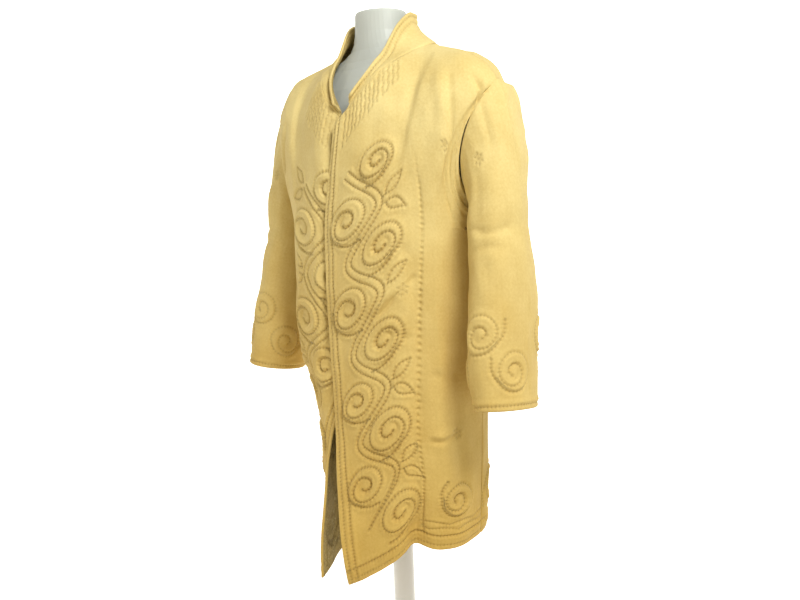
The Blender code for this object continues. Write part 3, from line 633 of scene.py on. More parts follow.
    def back_grid(self) -> Grid:
        """Grid of the back, columns from the left side seam round to the right one.

        Returns:
            Rows by columns of points; its seams repeat the fronts' points.
        """
        table = self.back_top()
        half = self.shares(table, "underarm", "shoulder_end", ARMHOLE_COLUMNS)
        half += self.shares(table, "shoulder_end", "neck_side", SHOULDER_COLUMNS)[1:]
        half += self.shares(table, "neck_side", "neck_centre", BACK_NECK_COLUMNS)[1:]
        seam = range(ARMHOLE_COLUMNS, ARMHOLE_COLUMNS + SHOULDER_COLUMNS + 1)
        halves = []
        for side in (1, -1):
            front = self.fronts[side]
            mirror = np.array([side, 1.0, 1.0])
            lines = []
            for index, share in enumerate(half):
                angle = side * (SIDE_ANGLE + (180.0 - SIDE_ANGLE) * share)
                end, way = self.top_point(table, share)
                end = end * mirror
                if index in seam:
                    end = front[-1, NECK_COLUMNS + SHOULDER_COLUMNS - (index - ARMHOLE_COLUMNS)]
                line = self.column([angle] * len(LOWER_ROWS), end, way * mirror)
                lines.append(list(front[:, -1]) if index == 0 else line)
            halves.append(lines)
        return np.array(halves[0] + halves[1][-2::-1]).transpose(1, 0, 2)

    @staticmethod
    def under_left(grid: Grid) -> Grid:
        """Push the right front inwards where the left front covers it.

        Args:
            grid: the right front.

        Returns:
            The moved grid.
        """
        out = grid.copy()
        normals = -grid_normals(grid)
        low = FRONT_EDGES[-1][1]
        point = LEFT_FRONT_TOP[0]
        for r, c in np.ndindex(grid.shape[:2]):
            x, _, z = grid[r, c]
            cover = spline(FRONT_EDGES, 0, 1, z)
            if z > CHEST:
                cover = low + (point[2] - low) * min((z - CHEST) / (point[4] - CHEST), 1.0)
            amount = smooth_step(cover - UNDERLAP_FADE, cover - UNDERLAP_END, x)
            if z > point[4]:
                amount *= smooth_step(UNDERLAP_TOP, point[4], z)
            out[r, c] -= unit(normals[r, c] * np.array([0.0, 1.0, 0.0])) * UNDERLAP_INSET * amount
        return out

    @staticmethod
    def sleeve(loop: Grid, table: Sequence[Row], side: int) -> Grid:
        """Grid of a sleeve, rows from the armhole to the cuff.

        Args:
            loop: points round the armhole.
            table: the sleeve's rows.
            side: 1 for the wearer's left, -1 for the right.

        Returns:
            Rows by columns of points; the last column is followed by the first.
        """
        count = len(loop)
        rel = loop - loop.mean(axis=0)
        up = (rel[:, 2] + side * rel[:, 0] * ARMHOLE_LEAN) / ARMHOLE_TALL
        turns = np.arctan2(-rel[:, 1] / ARMHOLE_HALF, up)
        even = np.arange(count) / count * math.tau
        angles = 0.5 * even + 0.5 * ((turns - turns[0]) % math.tau)
        keyed = [(i / (len(table) - 1),) + row[1:] for i, row in enumerate(table)]
        tube = []
        for r in range(SLEEVE_TUBE_ROWS + 1):
            at = r / SLEEVE_TUBE_ROWS
            cx, cy, cz, hx, hy = [spline(keyed, 0, c, at) for c in (1, 2, 3, 4, 5)]
            ahead = np.array([spline(keyed, 0, c, at + SLEEVE_LOOK) for c in (1, 2, 3)])
            run = ahead - np.array([spline(keyed, 0, c, at - SLEEVE_LOOK) for c in (1, 2, 3)])
            ox = side * hx * np.cos(angles)
            oy = -hy * np.sin(angles)
            tilt = -(run[0] * ox + run[1] * oy) / run[2] * smooth_step(0.0, SLEEVE_TILT, at)
            tube.append(np.stack([cx + ox, cy + oy, cz + tilt], axis=1))
        out, more, down = SLEEVE_LEAVE
        arrive = np.array([0.0, 0.0, -1.0])
        cap = []
        for r in range(SLEEVE_CAP_ROWS):
            ring = []
            for c in range(count):
                high = 0.5 + 0.5 * math.cos(angles[c])
                leave = unit(np.array([side * (out + more * high), 0.0, down])) * SLEEVE_CAP_REACH
                ring.append(between(loop[c], leave, tube[0][c], arrive, r / SLEEVE_CAP_ROWS))
            cap.append(ring)
        return np.concatenate([np.array(cap), np.array(tube)])

    def collar_grid(self) -> Grid:
        """Grid of the collar, columns from its left start round the neck to its right one.

        Returns:
            Rows from the neckline to the top edge.
        """
        left, right, back = self.fronts[1], self.fronts[-1], self.back
        low = ARMHOLE_COLUMNS + SHOULDER_COLUMNS
        base = [left[-1, c] for c in range(1, NECK_COLUMNS + 1)]
        base += [back[-1, c] for c in range(low + 1, back.shape[1] - low - 1)]
        base += [right[-1, c] for c in range(NECK_COLUMNS, 0, -1)]
        base = np.array(base)
        lengths = np.concatenate([[0.0], np.cumsum(np.linalg.norm(np.diff(base, axis=0), axis=1))])
        keyed = [(i / (len(COLLAR_TOP) - 1),) + row[1:] for i, row in enumerate(COLLAR_TOP)]
        steps = lengths / lengths[-1]
        top = np.array([[spline(keyed, 0, c, s) for c in (1, 2, 3)] for s in steps])
        out = unit(np.array([1.0, 1.0, 0.0]) * 0.5 * (base + top))
        height = np.linalg.norm(top - base, axis=1, keepdims=True)
        hollow = COLLAR_BULGE * np.minimum(height / COLLAR_HEIGHT, 1.0)
        rows = []
        for r in range(COLLAR_ROWS + 1):
            u = r / COLLAR_ROWS
            rows.append(base * (1.0 - u) + top * u - out * hollow * math.sin(math.pi * u))
        return np.array(rows)


@dataclass(frozen=True)
class Scroll:
    """A padded scroll: a stitched line that rounds a ring and winds into a small curl."""

    u: float
    v: float
    radius: float
    start: float  # degrees, where the line comes in
    hand: int  # 1 winds anticlockwise
    flat: float = 1.0  # height against width
    tail: float = 0.16  # turns before the ring

    def line(self) -> Grid:
        """Points of the winding line.

        Returns:
            Rows of u and v, from the tail in.
        """
        turns = np.linspace(-self.tail, SCROLL_TURNS[-1], SCROLL_POINTS)
        far = self.radius * np.interp(turns, SCROLL_TURNS, SCROLL_REACH)
        angle = math.radians(self.start) + self.hand * turns * math.tau
        u = self.u + far * np.cos(angle)
        return np.stack([u, self.v + self.flat * far * np.sin(angle)], axis=1)

    def padding(self, u: Grid, v: Grid) -> Grid:
        """Height of the stuffed ring.

        Args:
            u: places across the panel.
            v: places up the panel.

        Returns:
            Metres.
        """
        far = np.hypot(u - self.u, (v - self.v) / self.flat) / self.radius
        ring = np.clip(1.0 - ((far - RING_MIDDLE) / RING_HALF) ** 2, 0.0, 1.0) ** RING_ROUND
        heart = np.exp(-((far / HEART_WIDTH) ** 2))
        return RING_HEIGHT * (ring + HEART_SHARE * heart)


@dataclass(frozen=True)
class Crease:
    """A soft trough, or a ridge where depth is negative, along a bent line."""

    name: str
    points: tuple[tuple[float, float], ...]
    width: float
    depth: float
    ends: float = 0.25  # share of the length over which it fades

    def relief(self, u: Grid, v: Grid) -> Grid:
        """Height change at panel places.

        Args:
            u: places across the panel.
            v: places up the panel.

        Returns:
            Metres, negative in a trough.
        """
        line = curve(self.points, CREASE_STEPS)
        nearest = np.full(u.shape, 1e9)
        at = np.zeros(u.shape)
        for k, (pu, pv) in enumerate(line):
            away = (u - pu) ** 2 + (v - pv) ** 2
            closer = away < nearest
            nearest = np.where(closer, away, nearest)
            at = np.where(closer, k / (len(line) - 1), at)
        fade = smooth_step(0.0, self.ends, at) * smooth_step(1.0, 1.0 - self.ends, at)
        fade = np.maximum(fade, LEAST_FADE if self.ends < SHORT_ENDS else 0.0)
        return -self.depth * fade * np.exp(-nearest / self.width**2)


def curve(points: Sequence[Sequence[float]], steps: int) -> Grid:
    """Smooth line through points.

    Args:
        points: rows of coordinates.
        steps: pieces between each two points.

    Returns:
        Rows of coordinates along the line.
    """
    p = np.array(points, dtype=float)
    if len(p) == 2:
        return p[0] + (p[1] - p[0]) * np.linspace(0.0, 1.0, 2 * steps)[:, None]
    at = np.linspace(0.0, len(p) - 1.0, (len(p) - 1) * steps + 1)
    return refine_rows(p[:, None, :], at)[:, 0]


def refine_rows(grid: Grid, at: Grid, closed: bool = False) -> Grid:
    """Read rows of a grid on a smooth line between them.

    Args:
        grid: rows by columns of points.
        at: row positions, fractions allowed.
        closed: whether the last row repeats the first one.

    Returns:
        One row a position.
    """
    last = len(grid) - 1
    i = np.minimum(at.astype(int), last - 1)
    t = (at - i).reshape(-1, 1, 1)
    if closed:
        a, b, c, d = grid[(i - 1) % last], grid[i], grid[i + 1], grid[(i + 2) % last]
    else:
        pad = np.concatenate([2 * grid[:1] - grid[1:2], grid, 2 * grid[-1:] - grid[-2:-1]])
        a, b, c, d = pad[i], pad[i + 1], pad[i + 2], pad[i + 3]
    bend = (2 * a - 5 * b + 4 * c - d) * t**2
    return 0.5 * (2 * b + (c - a) * t + bend + (3 * b - a - 3 * c + d) * t**3)


def even_spread(grid: Grid, shares: Grid, axis: int) -> Grid:
    """Row or column positions at shares of the way over the cloth.

    Args:
        grid: rows by columns of points.
        shares: 0 at the first row or column, 1 at the last.
        axis: 0 for rows, 1 for columns.

    Returns:
        The positions.
    """
    steps = np.linalg.norm(np.diff(grid, axis=axis), axis=2).mean(axis=1 - axis)
    run = np.concatenate([[0.0], np.cumsum(steps)])
    return np.interp(run[-1] * shares, run, np.arange(len(run)))


def offset_pair(line: Grid, away: float) -> list[Grid]:
    """Two lines beside a line.

    Args:
        line: rows of u and v.
        away: distance of each from it.

    Returns:
        The two lines.
    """
    way = unit(np.gradient(line, axis=0))
    square = np.stack([-way[:, 1], way[:, 0]], axis=1)
    taper = np.minimum(np.linspace(0.0, STEM_TAPER, len(line)), 1.0)[:, None]
    return [line + square * away * taper, line - square * away * taper]


@dataclass
class Quilting:
    """All the stitched lines of one panel."""

    lines: list[tuple[Grid, float]] = field(default_factory=list)
    rings: list[tuple[Scroll, float]] = field(default_factory=list)
    creases: list[Crease] = field(default_factory=list)
    puff: float = 0.0016
    swell: float = 0.0011  # unevenness of the cloth between lines
    seed: float = 0.0

    def add(self, line: Grid, strength: float = 1.0) -> None:
        """Keep a line, cut to even steps.

        Args:
            line: rows of u and v.
            strength: how hard the thread pulls, 1 for the deepest lines.
        """
        steps = np.linalg.norm(np.diff(line, axis=0), axis=1)
        run = np.concatenate([[0.0], np.cumsum(steps)])
        stitches = max(round(run[-1] / STITCH_PITCH), 1)
        at = np.linspace(0.0, run[-1], stitches * SAMPLES_A_STITCH + 1)
        even = np.stack([np.interp(at, run, line[:, k]) for k in (0, 1)], axis=1)
        self.lines.append((even, strength))

    def scroll(self, scroll: Scroll, strength: float = 1.0) -> None:
        """Add a scroll.

        Args:
            scroll: its place and size.
            strength: how hard the thread pulls.
        """
        self.add(scroll.line(), strength)
        self.rings.append((scroll, strength))

    def vine(self, points: Sequence[Sequence[float]], width: float, strength: float) -> None:
        """Add a stem between two stitched lines.

        Args:
            points: places that it passes.
            width: half its width.
            strength: how hard the thread pulls.
        """
        for line in offset_pair(curve(points, STEM_STEPS), width):
            self.add(line, strength)

    def relief(self, u: Grid, v: Grid) -> tuple[Grid, Grid]:
        """Height of the quilted cloth, and where each place lies beside its nearest line.

        Args:
            u: places across the panel.
            v: places up the panel.

        Returns:
            Metres of height, and four values a place: millimetres to the line, one side
            negative; stitches along it; millimetres to it; and how hard its thread pulls.
        """
        height = np.zeros(u.shape)
        for crease in self.creases:
            height += CREASE_SHARE * crease.relief(u, v)
        for ring, strength in self.rings:
            height += strength * ring.padding(u, v)
        for k, (fu, fv, size) in enumerate(SWELLS):
            bend = SWELL_BEND * np.sin(SWELL_SLOW * fv * u + self.seed)
            wave = np.sin(fu * u + fv * v + self.seed * (k + SWELL_SHIFT) + bend)
            height += self.swell * size * wave
        places = np.concatenate([line for line, _ in self.lines])
        ways = np.concatenate([unit(np.gradient(line, axis=0)) for line, _ in self.lines])
        phase = np.concatenate([np.arange(len(line)) for line, _ in self.lines]) / SAMPLES_A_STITCH
        pull = np.concatenate([np.full(len(line), s) for line, s in self.lines])
        tree = KDTree(len(places))
        for k, (pu, pv) in enumerate(places):
            tree.insert((pu, pv, 0.0), k)
        tree.balance()
        index = np.array([tree.find((a, b, 0.0))[1] for a, b in zip(u.ravel(), v.ravel())])
        index = index.reshape(u.shape)
        off = np.stack([u, v], axis=2) - places[index]
        way = ways[index]
        along = (off * way).sum(axis=2)
        aside = off[:, :, 1] * way[:, :, 0] - off[:, :, 0] * way[:, :, 1]
        half = SAMPLE_HALF * STITCH_PITCH / SAMPLES_A_STITCH
        past = np.maximum(np.abs(along) - half, 0.0)
        away = np.hypot(past, aside)
        turn = phase[index] + np.clip(along, -half, half) / STITCH_PITCH
        hole = 0.5 + 0.5 * np.cos(math.tau * turn)
        force = pull[index]
        groove = np.exp(-((away / GROOVE_WIDTH) ** 2))
        bulge = np.exp(-(((away - BULGE_AT) / BULGE_WIDTH) ** 2))
        pucker = np.exp(-(((away - PUCKER_AT) / PUCKER_WIDTH) ** 2))
        sink = GROOVE_DEPTH * groove
        height += force * (self.puff * bulge - sink - PUCKER_DEPTH * pucker * (hole - 0.5))
        beside = np.clip(1e3 * np.copysign(away, aside), -SIDE_CLIP, SIDE_CLIP)
        stitch = [beside, turn, np.minimum(1e3 * away, AWAY_CLIP), force]
        return height, np.stack(stitch, axis=2)


@dataclass
class Panel:
    """A panel of cloth: a dense outer face with turned edges, and a plain inner face."""

    name: str
    coarse: Grid
    side: float  # 1 or -1, turns the grid's normals outwards
    rows: int
    columns: int
    quilting: Quilting
    closed: bool = False
    free: tuple[str, ...] = ()
    wall: float = WALL
    base: Grid | None = None
    points: Grid | None = None
    normals: Grid | None = None
    stitch: Grid | None = None
    near_share: float = 0.5  # share of the width beside the first edge ...
    near_columns: float = 0.5  # ... and of the columns that it gets
    u: Grid | None = None
    v: Grid | None = None

    def measure(self) -> None:
        """Refine the grid and measure it."""
        grid = self.coarse
        if self.closed:
            grid = np.concatenate([grid, grid[:, :1]], axis=1)
        steps = np.linspace(0.0, 1.0, self.columns)
        share = np.interp(steps, (0.0, self.near_columns, 1.0), (0.0, self.near_share, 1.0))
        across = even_spread(grid, share, 1)
        fine = refine_rows(grid, even_spread(grid, np.linspace(0.0, 1.0, self.rows), 0))
        fine = refine_rows(fine.transpose(1, 0, 2), across, self.closed).transpose(1, 0, 2)
        start = np.zeros((fine.shape[0], 1))
        run = np.linalg.norm(np.diff(fine, axis=1), axis=2)
        self.u = np.cumsum(np.hstack([start, run]), axis=1)
        start = np.zeros((1, fine.shape[1]))
        run = np.linalg.norm(np.diff(fine, axis=0), axis=2)
        self.v = np.cumsum(np.vstack([start, run]), axis=0)
        self.base = fine

    def shape(self) -> None:
        """Raise the measured grid by the quilting's relief."""
        height, self.stitch = self.quilting.relief(self.u, self.v)
        height = height * self.calm() - self.ditch()
        self.points = self.base + self.side * self.fine_normals(self.base) * height[:, :, None]
        self.normals = self.side * self.fine_normals(self.points)

    def along(self, edge: str, inset: float) -> Grid:
        """Line beside an edge.

        Args:
            edge: the edge's name.
            inset: distance from it.

        Returns:
            Rows of u and v.
        """
        away = self.edge_distance()[edge]
        if edge in ("first", "last"):
            away, u, v = away.T, self.u.T, self.v.T
        else:
            u, v = self.u, self.v
        line = []
        for k in range(away.shape[1]):
            run = away[:, k]
            order = slice(None) if run[-1] > run[0] else slice(None, None, -1)
            if run.max() > inset:
                line.append([np.interp(inset, run[order], w[order, k]) for w in (u, v)])
        return np.array(line)

    def seams(self, table: Sequence[tuple[str, float, float]]) -> None:
        """Stitch lines beside the edges of the measured panel.

        Args:
            table: the edge, how far from it and how hard the thread pulls, one row a line.
        """
        for edge, inset, strength in table:
            self.quilting.add(self.along(edge, inset), strength)

    def fine_normals(self, grid: Grid) -> Grid:
        """Normals of a dense grid, joined up where it closes.

        Args:
            grid: the points.

        Returns:
            One normal a point.
        """
        if not self.closed:
            return grid_normals(grid)
        inner = grid_normals(grid[:, :-1], closed=True)
        return np.concatenate([inner, inner[:, :1]], axis=1)

    def edge_distance(self) -> dict[str, Grid]:
        """Distance of every point from each edge.

        Returns:
            Metres, by the edge's name.
        """
        away = {"bottom": self.v, "top": self.v[-1:] - self.v}
        if not self.closed:
            away["first"] = self.u
            away["last"] = self.u[:, -1:] - self.u
        return away

    def calm(self) -> Grid:
        """Share of the relief that is kept, less beside an edge.

        Returns:
            0 to 1 a point.
        """
        nearest = np.minimum.reduce(list(self.edge_distance().values()))
        return EDGE_SHARE + (1.0 - EDGE_SHARE) * smooth_step(0.0, EDGE_CALM, nearest)

    def ditch(self) -> Grid:
        """How far the cloth sinks at its seams.

        Returns:
            Metres a point.
        """
        sunk = np.zeros(self.u.shape)
        for edge, away in self.edge_distance().items():
            if edge not in self.free:
                sunk = np.maximum(sunk, DITCH_DEPTH * np.exp(-((away / DITCH_WIDTH) ** 2)))
        return sunk

    def outline(self) -> tuple[list[Grid], Grid]:
        """Border places in order.

        Returns:
            Loops of flat indices, and how freely each border point turns over.
        """
        rows, columns = self.u.shape
        index = np.arange(rows * columns).reshape(rows, columns)
        loose = np.zeros(rows * columns)
        edges = {"bottom": index[0], "top": index[-1], "first": index[:, 0], "last": index[:, -1]}
        for edge in self.free:
            loose[edges[edge]] = 1.0
        if self.closed:
            return [index[0, :-1], index[-1, :-1][::-1]], loose
        loop = np.concatenate([index[0, :-1], index[:-1, -1], index[-1, :0:-1], index[:0:-1, 0]])
        return [loop], loose

    def mesh(self, finish: "Finish") -> bpy.types.Object:
        """Make the outer face with its turned edges.

        Args:
            finish: the cloth's look.

        Returns:
            The object.
        """
        quads = grid_quads(self.u.shape, self.closed)
        if self.side < 0:
            quads = quads[:, ::-1]
        points = self.points.reshape(-1, 3)
        normals = self.normals.reshape(-1, 3)
        around = self.around_points()
        uv = np.stack([self.u, self.v], axis=2).reshape(-1, 2)
        stitch = self.stitch.reshape(-1, 4)
        loops, loose = self.outline()
        all_points, all_uv, all_stitch, all_quads = [points], [uv], [stitch], [quads]
        count = len(points)
        for loop in loops:
            here = points[loop]
            normal = normals[loop]
            out = unit(here - around[loop])
            out = unit(out - normal * (out * normal).sum(axis=1, keepdims=True))
            loosened = loose[loop][:, None]
            before = loop
            for step in range(1, RIM_STEPS + 1):
                turn = math.pi * step / RIM_STEPS
                reach = out * loosened * 0.5 * self.wall * math.sin(turn)
                drop = normal * 0.5 * self.wall * (1.0 - math.cos(turn))
                now = np.arange(count, count + len(loop))
                all_points.append(here + reach - drop)
                all_uv.append(uv[loop] + np.array([0.0, RIM_RUN * step]))
                all_stitch.append(stitch[loop] * np.array([1.0, 1.0, 1.0, RIM_PULL]))
                after, ahead = np.roll(before, -1), np.roll(now, -1)
                strip = np.stack([before, now, ahead, after], axis=1)
                all_quads.append(strip if self.side > 0 else strip[:, ::-1])
                before = now
                count += len(loop)
        return Piece.make(
            self.name,
            np.concatenate(all_points),
            np.concatenate(all_quads),
            finish,
            np.concatenate(all_uv),
            np.concatenate(all_stitch),
        )

    def around_points(self) -> Grid:
        """For every point, a place a little further into the panel.

        Returns:
            One point each, in flat order.
        """
        inner = self.points.copy()
        inner[0] = self.points[1]
        inner[-1] = self.points[-2]
        if not self.closed:
            inner[:, 0] = inner[:, 1]
            inner[:, -1] = inner[:, -2]
        return inner.reshape(-1, 3)

    def inside(self, finish: "Finish", step: int, name: str) -> bpy.types.Object:
        """Make the inner face, at the wall's full depth.

        Args:
            finish: the lining's look.
            step: how many points of the outer face it skips.
            name: the object's name.

        Returns:
            The object.
        """
        rows, columns = self.u.shape
        r = np.unique(np.append(np.arange(0, rows, step), rows - 1))
        c = np.unique(np.append(np.arange(0, columns, step), columns - 1))
        pick = np.ix_(r, c)
        smooth = self.side * self.fine_normals(self.base)
        height = ((self.points - self.base) * smooth).sum(axis=2)
        points = self.base[pick] - smooth[pick] * (self.wall - 0.5 * height[pick])[:, :, None]
        quads = grid_quads((len(r), len(c)), self.closed)
        if self.side > 0:
            quads = quads[:, ::-1]
        uv = np.stack([self.u[pick], self.v[pick]], axis=2).reshape(-1, 2)
        stitch = self.stitch[pick].reshape(-1, 4)
        return Piece.make(name, points.reshape(-1, 3), quads, finish, uv, stitch)

    def stitch_places(self) -> tuple[Grid, Grid]:
        """Where each thread lies on the cloth.

        Returns:
            Middle points, and the turn of each thread as Euler angles.
        """
        tree = KDTree(self.u.size)
        flat_u, flat_v = self.u.ravel(), self.v.ravel()
        for k in range(self.u.size):
            tree.insert((flat_u[k], flat_v[k], 0.0), k)
        tree.balance()
        points = self.points.reshape(-1, 3)
        normals = self.normals.reshape(-1, 3)
        middles, turns = [], []
        for line, _ in self.quilting.lines:
            ends = line[::SAMPLES_A_STITCH]
            on = [tree.find((p[0], p[1], 0.0)) for p in ends]
            for (_, i, near), (_, j, far) in zip(on[:-1], on[1:]):
                if i == j or near > STITCH_PITCH or far > STITCH_PITCH:
                    continue
                way = Vector(points[j] - points[i]).normalized()
                out = Vector(normals[i]).normalized()
                square = out.cross(way).normalized()
                frame = Matrix((way, square, way.cross(square))).transposed()
                middles.append((points[i] + points[j]) * 0.5 + normals[i] * THREAD_LIFT)
                turns.append(tuple(frame.to_euler()))
        return np.array(middles).reshape(-1, 3), np.array(turns).reshape(-1, 3)


class Slot(Enum):
    """Material slots of the record."""

    WOOL = "wool"
    LINING = "lining"
    FORM = "form"
    STAND = "stand"


class Nodes:
    """Short way to write a tree of nodes."""

    prefix = ""

    def __init__(self, tree: bpy.types.NodeTree) -> None:
        """Write into a tree.

        Args:
            tree: the tree.
        """
        self.tree = tree

    def add(self, kind: str, inputs: dict | None = None, **settings: object) -> bpy.types.Node:
        """Add a node.

        Args:
            kind: node type without the tree's prefix.
            inputs: socket name to a value or to another node's output socket.
            settings: the node's own properties.

        Returns:
            The node.
        """
        node = self.tree.nodes.new(self.prefix + kind)
        for key, value in settings.items():
            setattr(node, key, value)
        for key, value in (inputs or {}).items():
            self.feed(node.inputs[key], value)
        return node

    def feed(self, socket: bpy.types.NodeSocket, value: object) -> None:
        """Set or link a socket.

        Args:
            socket: the input.
            value: a plain value or an output socket.
        """
        if isinstance(value, bpy.types.NodeSocket):
            self.tree.links.new(value, socket)
        else:
            socket.default_value = value


class NodeTree(Nodes):
    """Short way to write a material's nodes."""

    prefix = "ShaderNode"

    def __init__(self, name: str) -> None:
        """Start a material.

        Args:
            name: the material's name.
        """
        self.material = bpy.data.materials.new(name)
        self.material.use_nodes = True
        super().__init__(self.material.node_tree)

    def finish(self, inputs: dict) -> bpy.types.Material:
        """Feed the shader, which ends the material.

        Args:
            inputs: its socket names to values or outputs.

        Returns:
            The material.
        """
        shader = self.tree.nodes["Principled BSDF"]
        for key, value in inputs.items():
            self.feed(shader.inputs[key], value)
        return self.material

    def ramp(self, value: object, stops: Sequence[tuple[float, Row]]) -> bpy.types.NodeSocket:
        """Colour ramp.

        Args:
            value: what it reads.
            stops: positions with colours.

        Returns:
            The colour output.
        """
        node = self.add("ValToRGB", {"Fac": value})
        ramp = node.color_ramp
        while len(ramp.elements) < len(stops):
            ramp.elements.new(0.5)
        for element, (at, colour) in zip(ramp.elements, stops):
            element.position = at
            element.color = (*colour, 1.0)
        return node.outputs["Color"]

    def math(self, operation: str, a: object, b: object) -> bpy.types.NodeSocket:
        """Arithmetic on two values.

        Args:
            operation: Blender's name of it.
            a: first value or output.
            b: second value or output.

        Returns:
            The result's socket.
        """
        node = self.add("Math", {0: a, 1: b}, operation=operation)
        return node.outputs[0]

    def mix(self, share: object, a: object, b: object, blend: str = "MIX") -> bpy.types.NodeSocket:
        """Mix two colours.

        Args:
            share: 0 for a, 1 for b.
            a: first colour or output.
            b: second colour or output.
            blend: Blender's blend mode.

        Returns:
            The mixed colour's socket.
        """
        node = self.add("Mix", data_type="RGBA", blend_type=blend)
        self.feed(node.inputs[0], share)
        self.feed(node.inputs[6], a)
        self.feed(node.inputs[7], b)
        return node.outputs[2]

    def bell(self, value: object, middle: float, width: float) -> bpy.types.NodeSocket:
        """Bell curve of a value.

        Args:
            value: what it reads.
            middle: where it is 1.
            width: how fast it falls.

        Returns:
            The result's socket.
        """
        off = self.math("DIVIDE", self.math("SUBTRACT", value, middle), width)
        square = self.math("MULTIPLY", off, off)
        return self.math("EXPONENT", self.math("MULTIPLY", square, -1.0), 0.0)

    def stitches(self) -> tuple[bpy.types.NodeSocket, bpy.types.NodeSocket]:
        """Painted shadow and depth of the cloth beside its stitched lines.

        Returns:
            Darkness from 0 to 1, and millimetres that the cloth sinks.
        """
        node = self.add("Attribute", attribute_name="stitch")
        parts = self.add("SeparateXYZ", {"Vector": node.outputs["Vector"]})
        pull = self.add("Attribute", attribute_name="pull").outputs["Fac"]
        aside = self.math("ABSOLUTE", parts.outputs["X"], 0.0)
        gone, full = STITCH_REACH
        near = {"Value": parts.outputs["Z"], "From Min": gone, "From Max": full}
        near = self.add("MapRange", near)
        pull = self.math("MULTIPLY", pull, near.outputs[0])
        wave = self.math("COSINE", self.math("MULTIPLY", parts.outputs["Y"], math.tau), 0.0)
        hole = self.math("MULTIPLY_ADD", wave, 0.5)
        hole.node.inputs[2].default_value = 0.5
        pit = self.math("MULTIPLY", self.bell(aside, 0.0, PIT_WIDTH), self.math("POWER", hole, 2.0))
        groove = self.bell(aside, 0.0, GROOVE_SPREAD)
        stroke = self.bell(aside, STROKE_AT, STROKE_SPREAD)
        stroke = self.math("MULTIPLY", stroke, self.math("POWER", hole, 1.5))
        sums = []
        for shares in (STITCH_PAINTED_SHADOWS, STITCH_DEPTHS):
            total = self.math("MULTIPLY", pit, shares[0])
            total = self.math("ADD", total, self.math("MULTIPLY", groove, shares[1]))
            total = self.math("ADD", total, self.math("MULTIPLY", stroke, shares[2]))
            sums.append(self.math("MULTIPLY", total, pull))
        return sums[0], sums[1]


@dataclass(frozen=True)
class Finish:
    """What every finish can do."""

    name: str
    slot: Slot

    def material(self) -> bpy.types.Material:
        """Find or make the material.

        Returns:
            The material.
        """
        found = bpy.data.materials.get(self.name)
        return found if found else self.make()

    def make(self) -> bpy.types.Material:
        """Make the material.

        Returns:
            The material.
        """
        raise NotImplementedError


@dataclass(frozen=True)
class WoolFinish(Finish):
    """Fine gold wool with a soft nap, with painted shade that makes it browner towards the hem and
    painted shadow in each stitch hole.
    """

    light: Row = (0.77, 0.640, 0.285)
    dark: Row = (0.65, 0.500, 0.185)
    # Painted shade: multiplies the colour darker and more saturated towards the hem, where less
    # light falls
    warm: Row = (0.90, 0.76, 0.47)  # multiplies the colour at the hem
    warm_from: float = 1.25  # height where that starts ...
    warm_whole: float = 0.50  # ... and where it is whole
    # colour of the painted shadow in stitch holes, grooves and puckers
    hole: Row = (0.22, 0.120, 0.028)
    weave: float = 620.0  # threads a metre

    def make(self) -> bpy.types.Material:
        """Make the wool.

        Returns:
            The material.
        """
        tree = NodeTree(self.name)
        place = tree.add("UVMap", uv_map="metres").outputs[0]
        body = tree.add("TexCoord").outputs["Object"]
        patch = {"Vector": body, "Scale": 9.0, "Detail": 3.0, "Roughness": 0.55}
        patch = tree.add("TexNoise", patch).outputs["Fac"]
        fleck = {"Vector": body, "Scale": 260.0, "Detail": 2.0, "Roughness": 0.6}
        fleck = tree.add("TexNoise", fleck).outputs["Fac"]
        wave = {"Vector": place, "Scale": self.weave / WAVES_A_METRE, "Distortion": 1.2}
        wave |= {"Detail": 1.0, "Detail Scale": 2.0}
        warp, weft = (tree.add("TexWave", wave, bands_direction=way) for way in "XY")
        cloth = tree.math("MULTIPLY", warp.outputs["Fac"], weft.outputs["Fac"])
        tone = tree.math("ADD", patch, tree.math("MULTIPLY", fleck, 0.45))
        tone = tree.math("ADD", tone, tree.math("MULTIPLY", cloth, 0.05))
        colour = tree.ramp(tone, ((0.50, self.dark), (0.94, self.light)))
        # Painted shade: darker and more saturated towards the hem
        height = tree.add("SeparateXYZ", {"Vector": body}).outputs["Z"]
        low = {"Value": height, "From Min": self.warm_from, "From Max": self.warm_whole}
        low = tree.add("MapRange", low)
        hem_shaded = tree.mix(1.0, colour, (*self.warm, 1.0), "MULTIPLY")
        colour = tree.mix(low.outputs[0], colour, hem_shaded)
        shade, sink = tree.stitches()
        shade = tree.math("ADD", shade, self.soft_shade(tree))
        # Painted shadow in the stitch holes, grooves and puckers, and broad painted shade along
        # each groove
        colour = tree.mix(shade, colour, (*self.hole, 1.0))
        weave = tree.math("MULTIPLY", cloth, 0.12)
        relief = tree.math("ADD", weave, tree.math("MULTIPLY", fleck, 0.4))
        relief = tree.math("SUBTRACT", relief, sink)
        bump = tree.add("Bump", {"Strength": 1.0, "Distance": 0.001, "Height": relief})
        return tree.finish({
            "Base Color": colour,
            "Roughness": 0.82,
            "Sheen Weight": 0.12,
            "Sheen Roughness": 0.45,
            "Sheen Tint": (1.0, 0.86, 0.60, 1.0),
            "Specular IOR Level": 0.25,
            "Normal": bump.outputs[0],
        })

    @staticmethod
    def soft_shade(tree: NodeTree) -> bpy.types.NodeSocket:
        """Broad soft shade along every stitched groove.

        Args:
            tree: the material's nodes.

        Returns:
            Darkness from 0 to 1.
        """
        node = tree.add("Attribute", attribute_name="stitch")
        away = tree.add("SeparateXYZ", {"Vector": node.outputs["Vector"]}).outputs["Z"]
        pull = tree.add("Attribute", attribute_name="pull").outputs["Fac"]
        shade = tree.math("MULTIPLY", tree.bell(away, 0.0, SOFT_WIDTH), SOFT_SHADE)
        return tree.math("MULTIPLY", shade, pull)


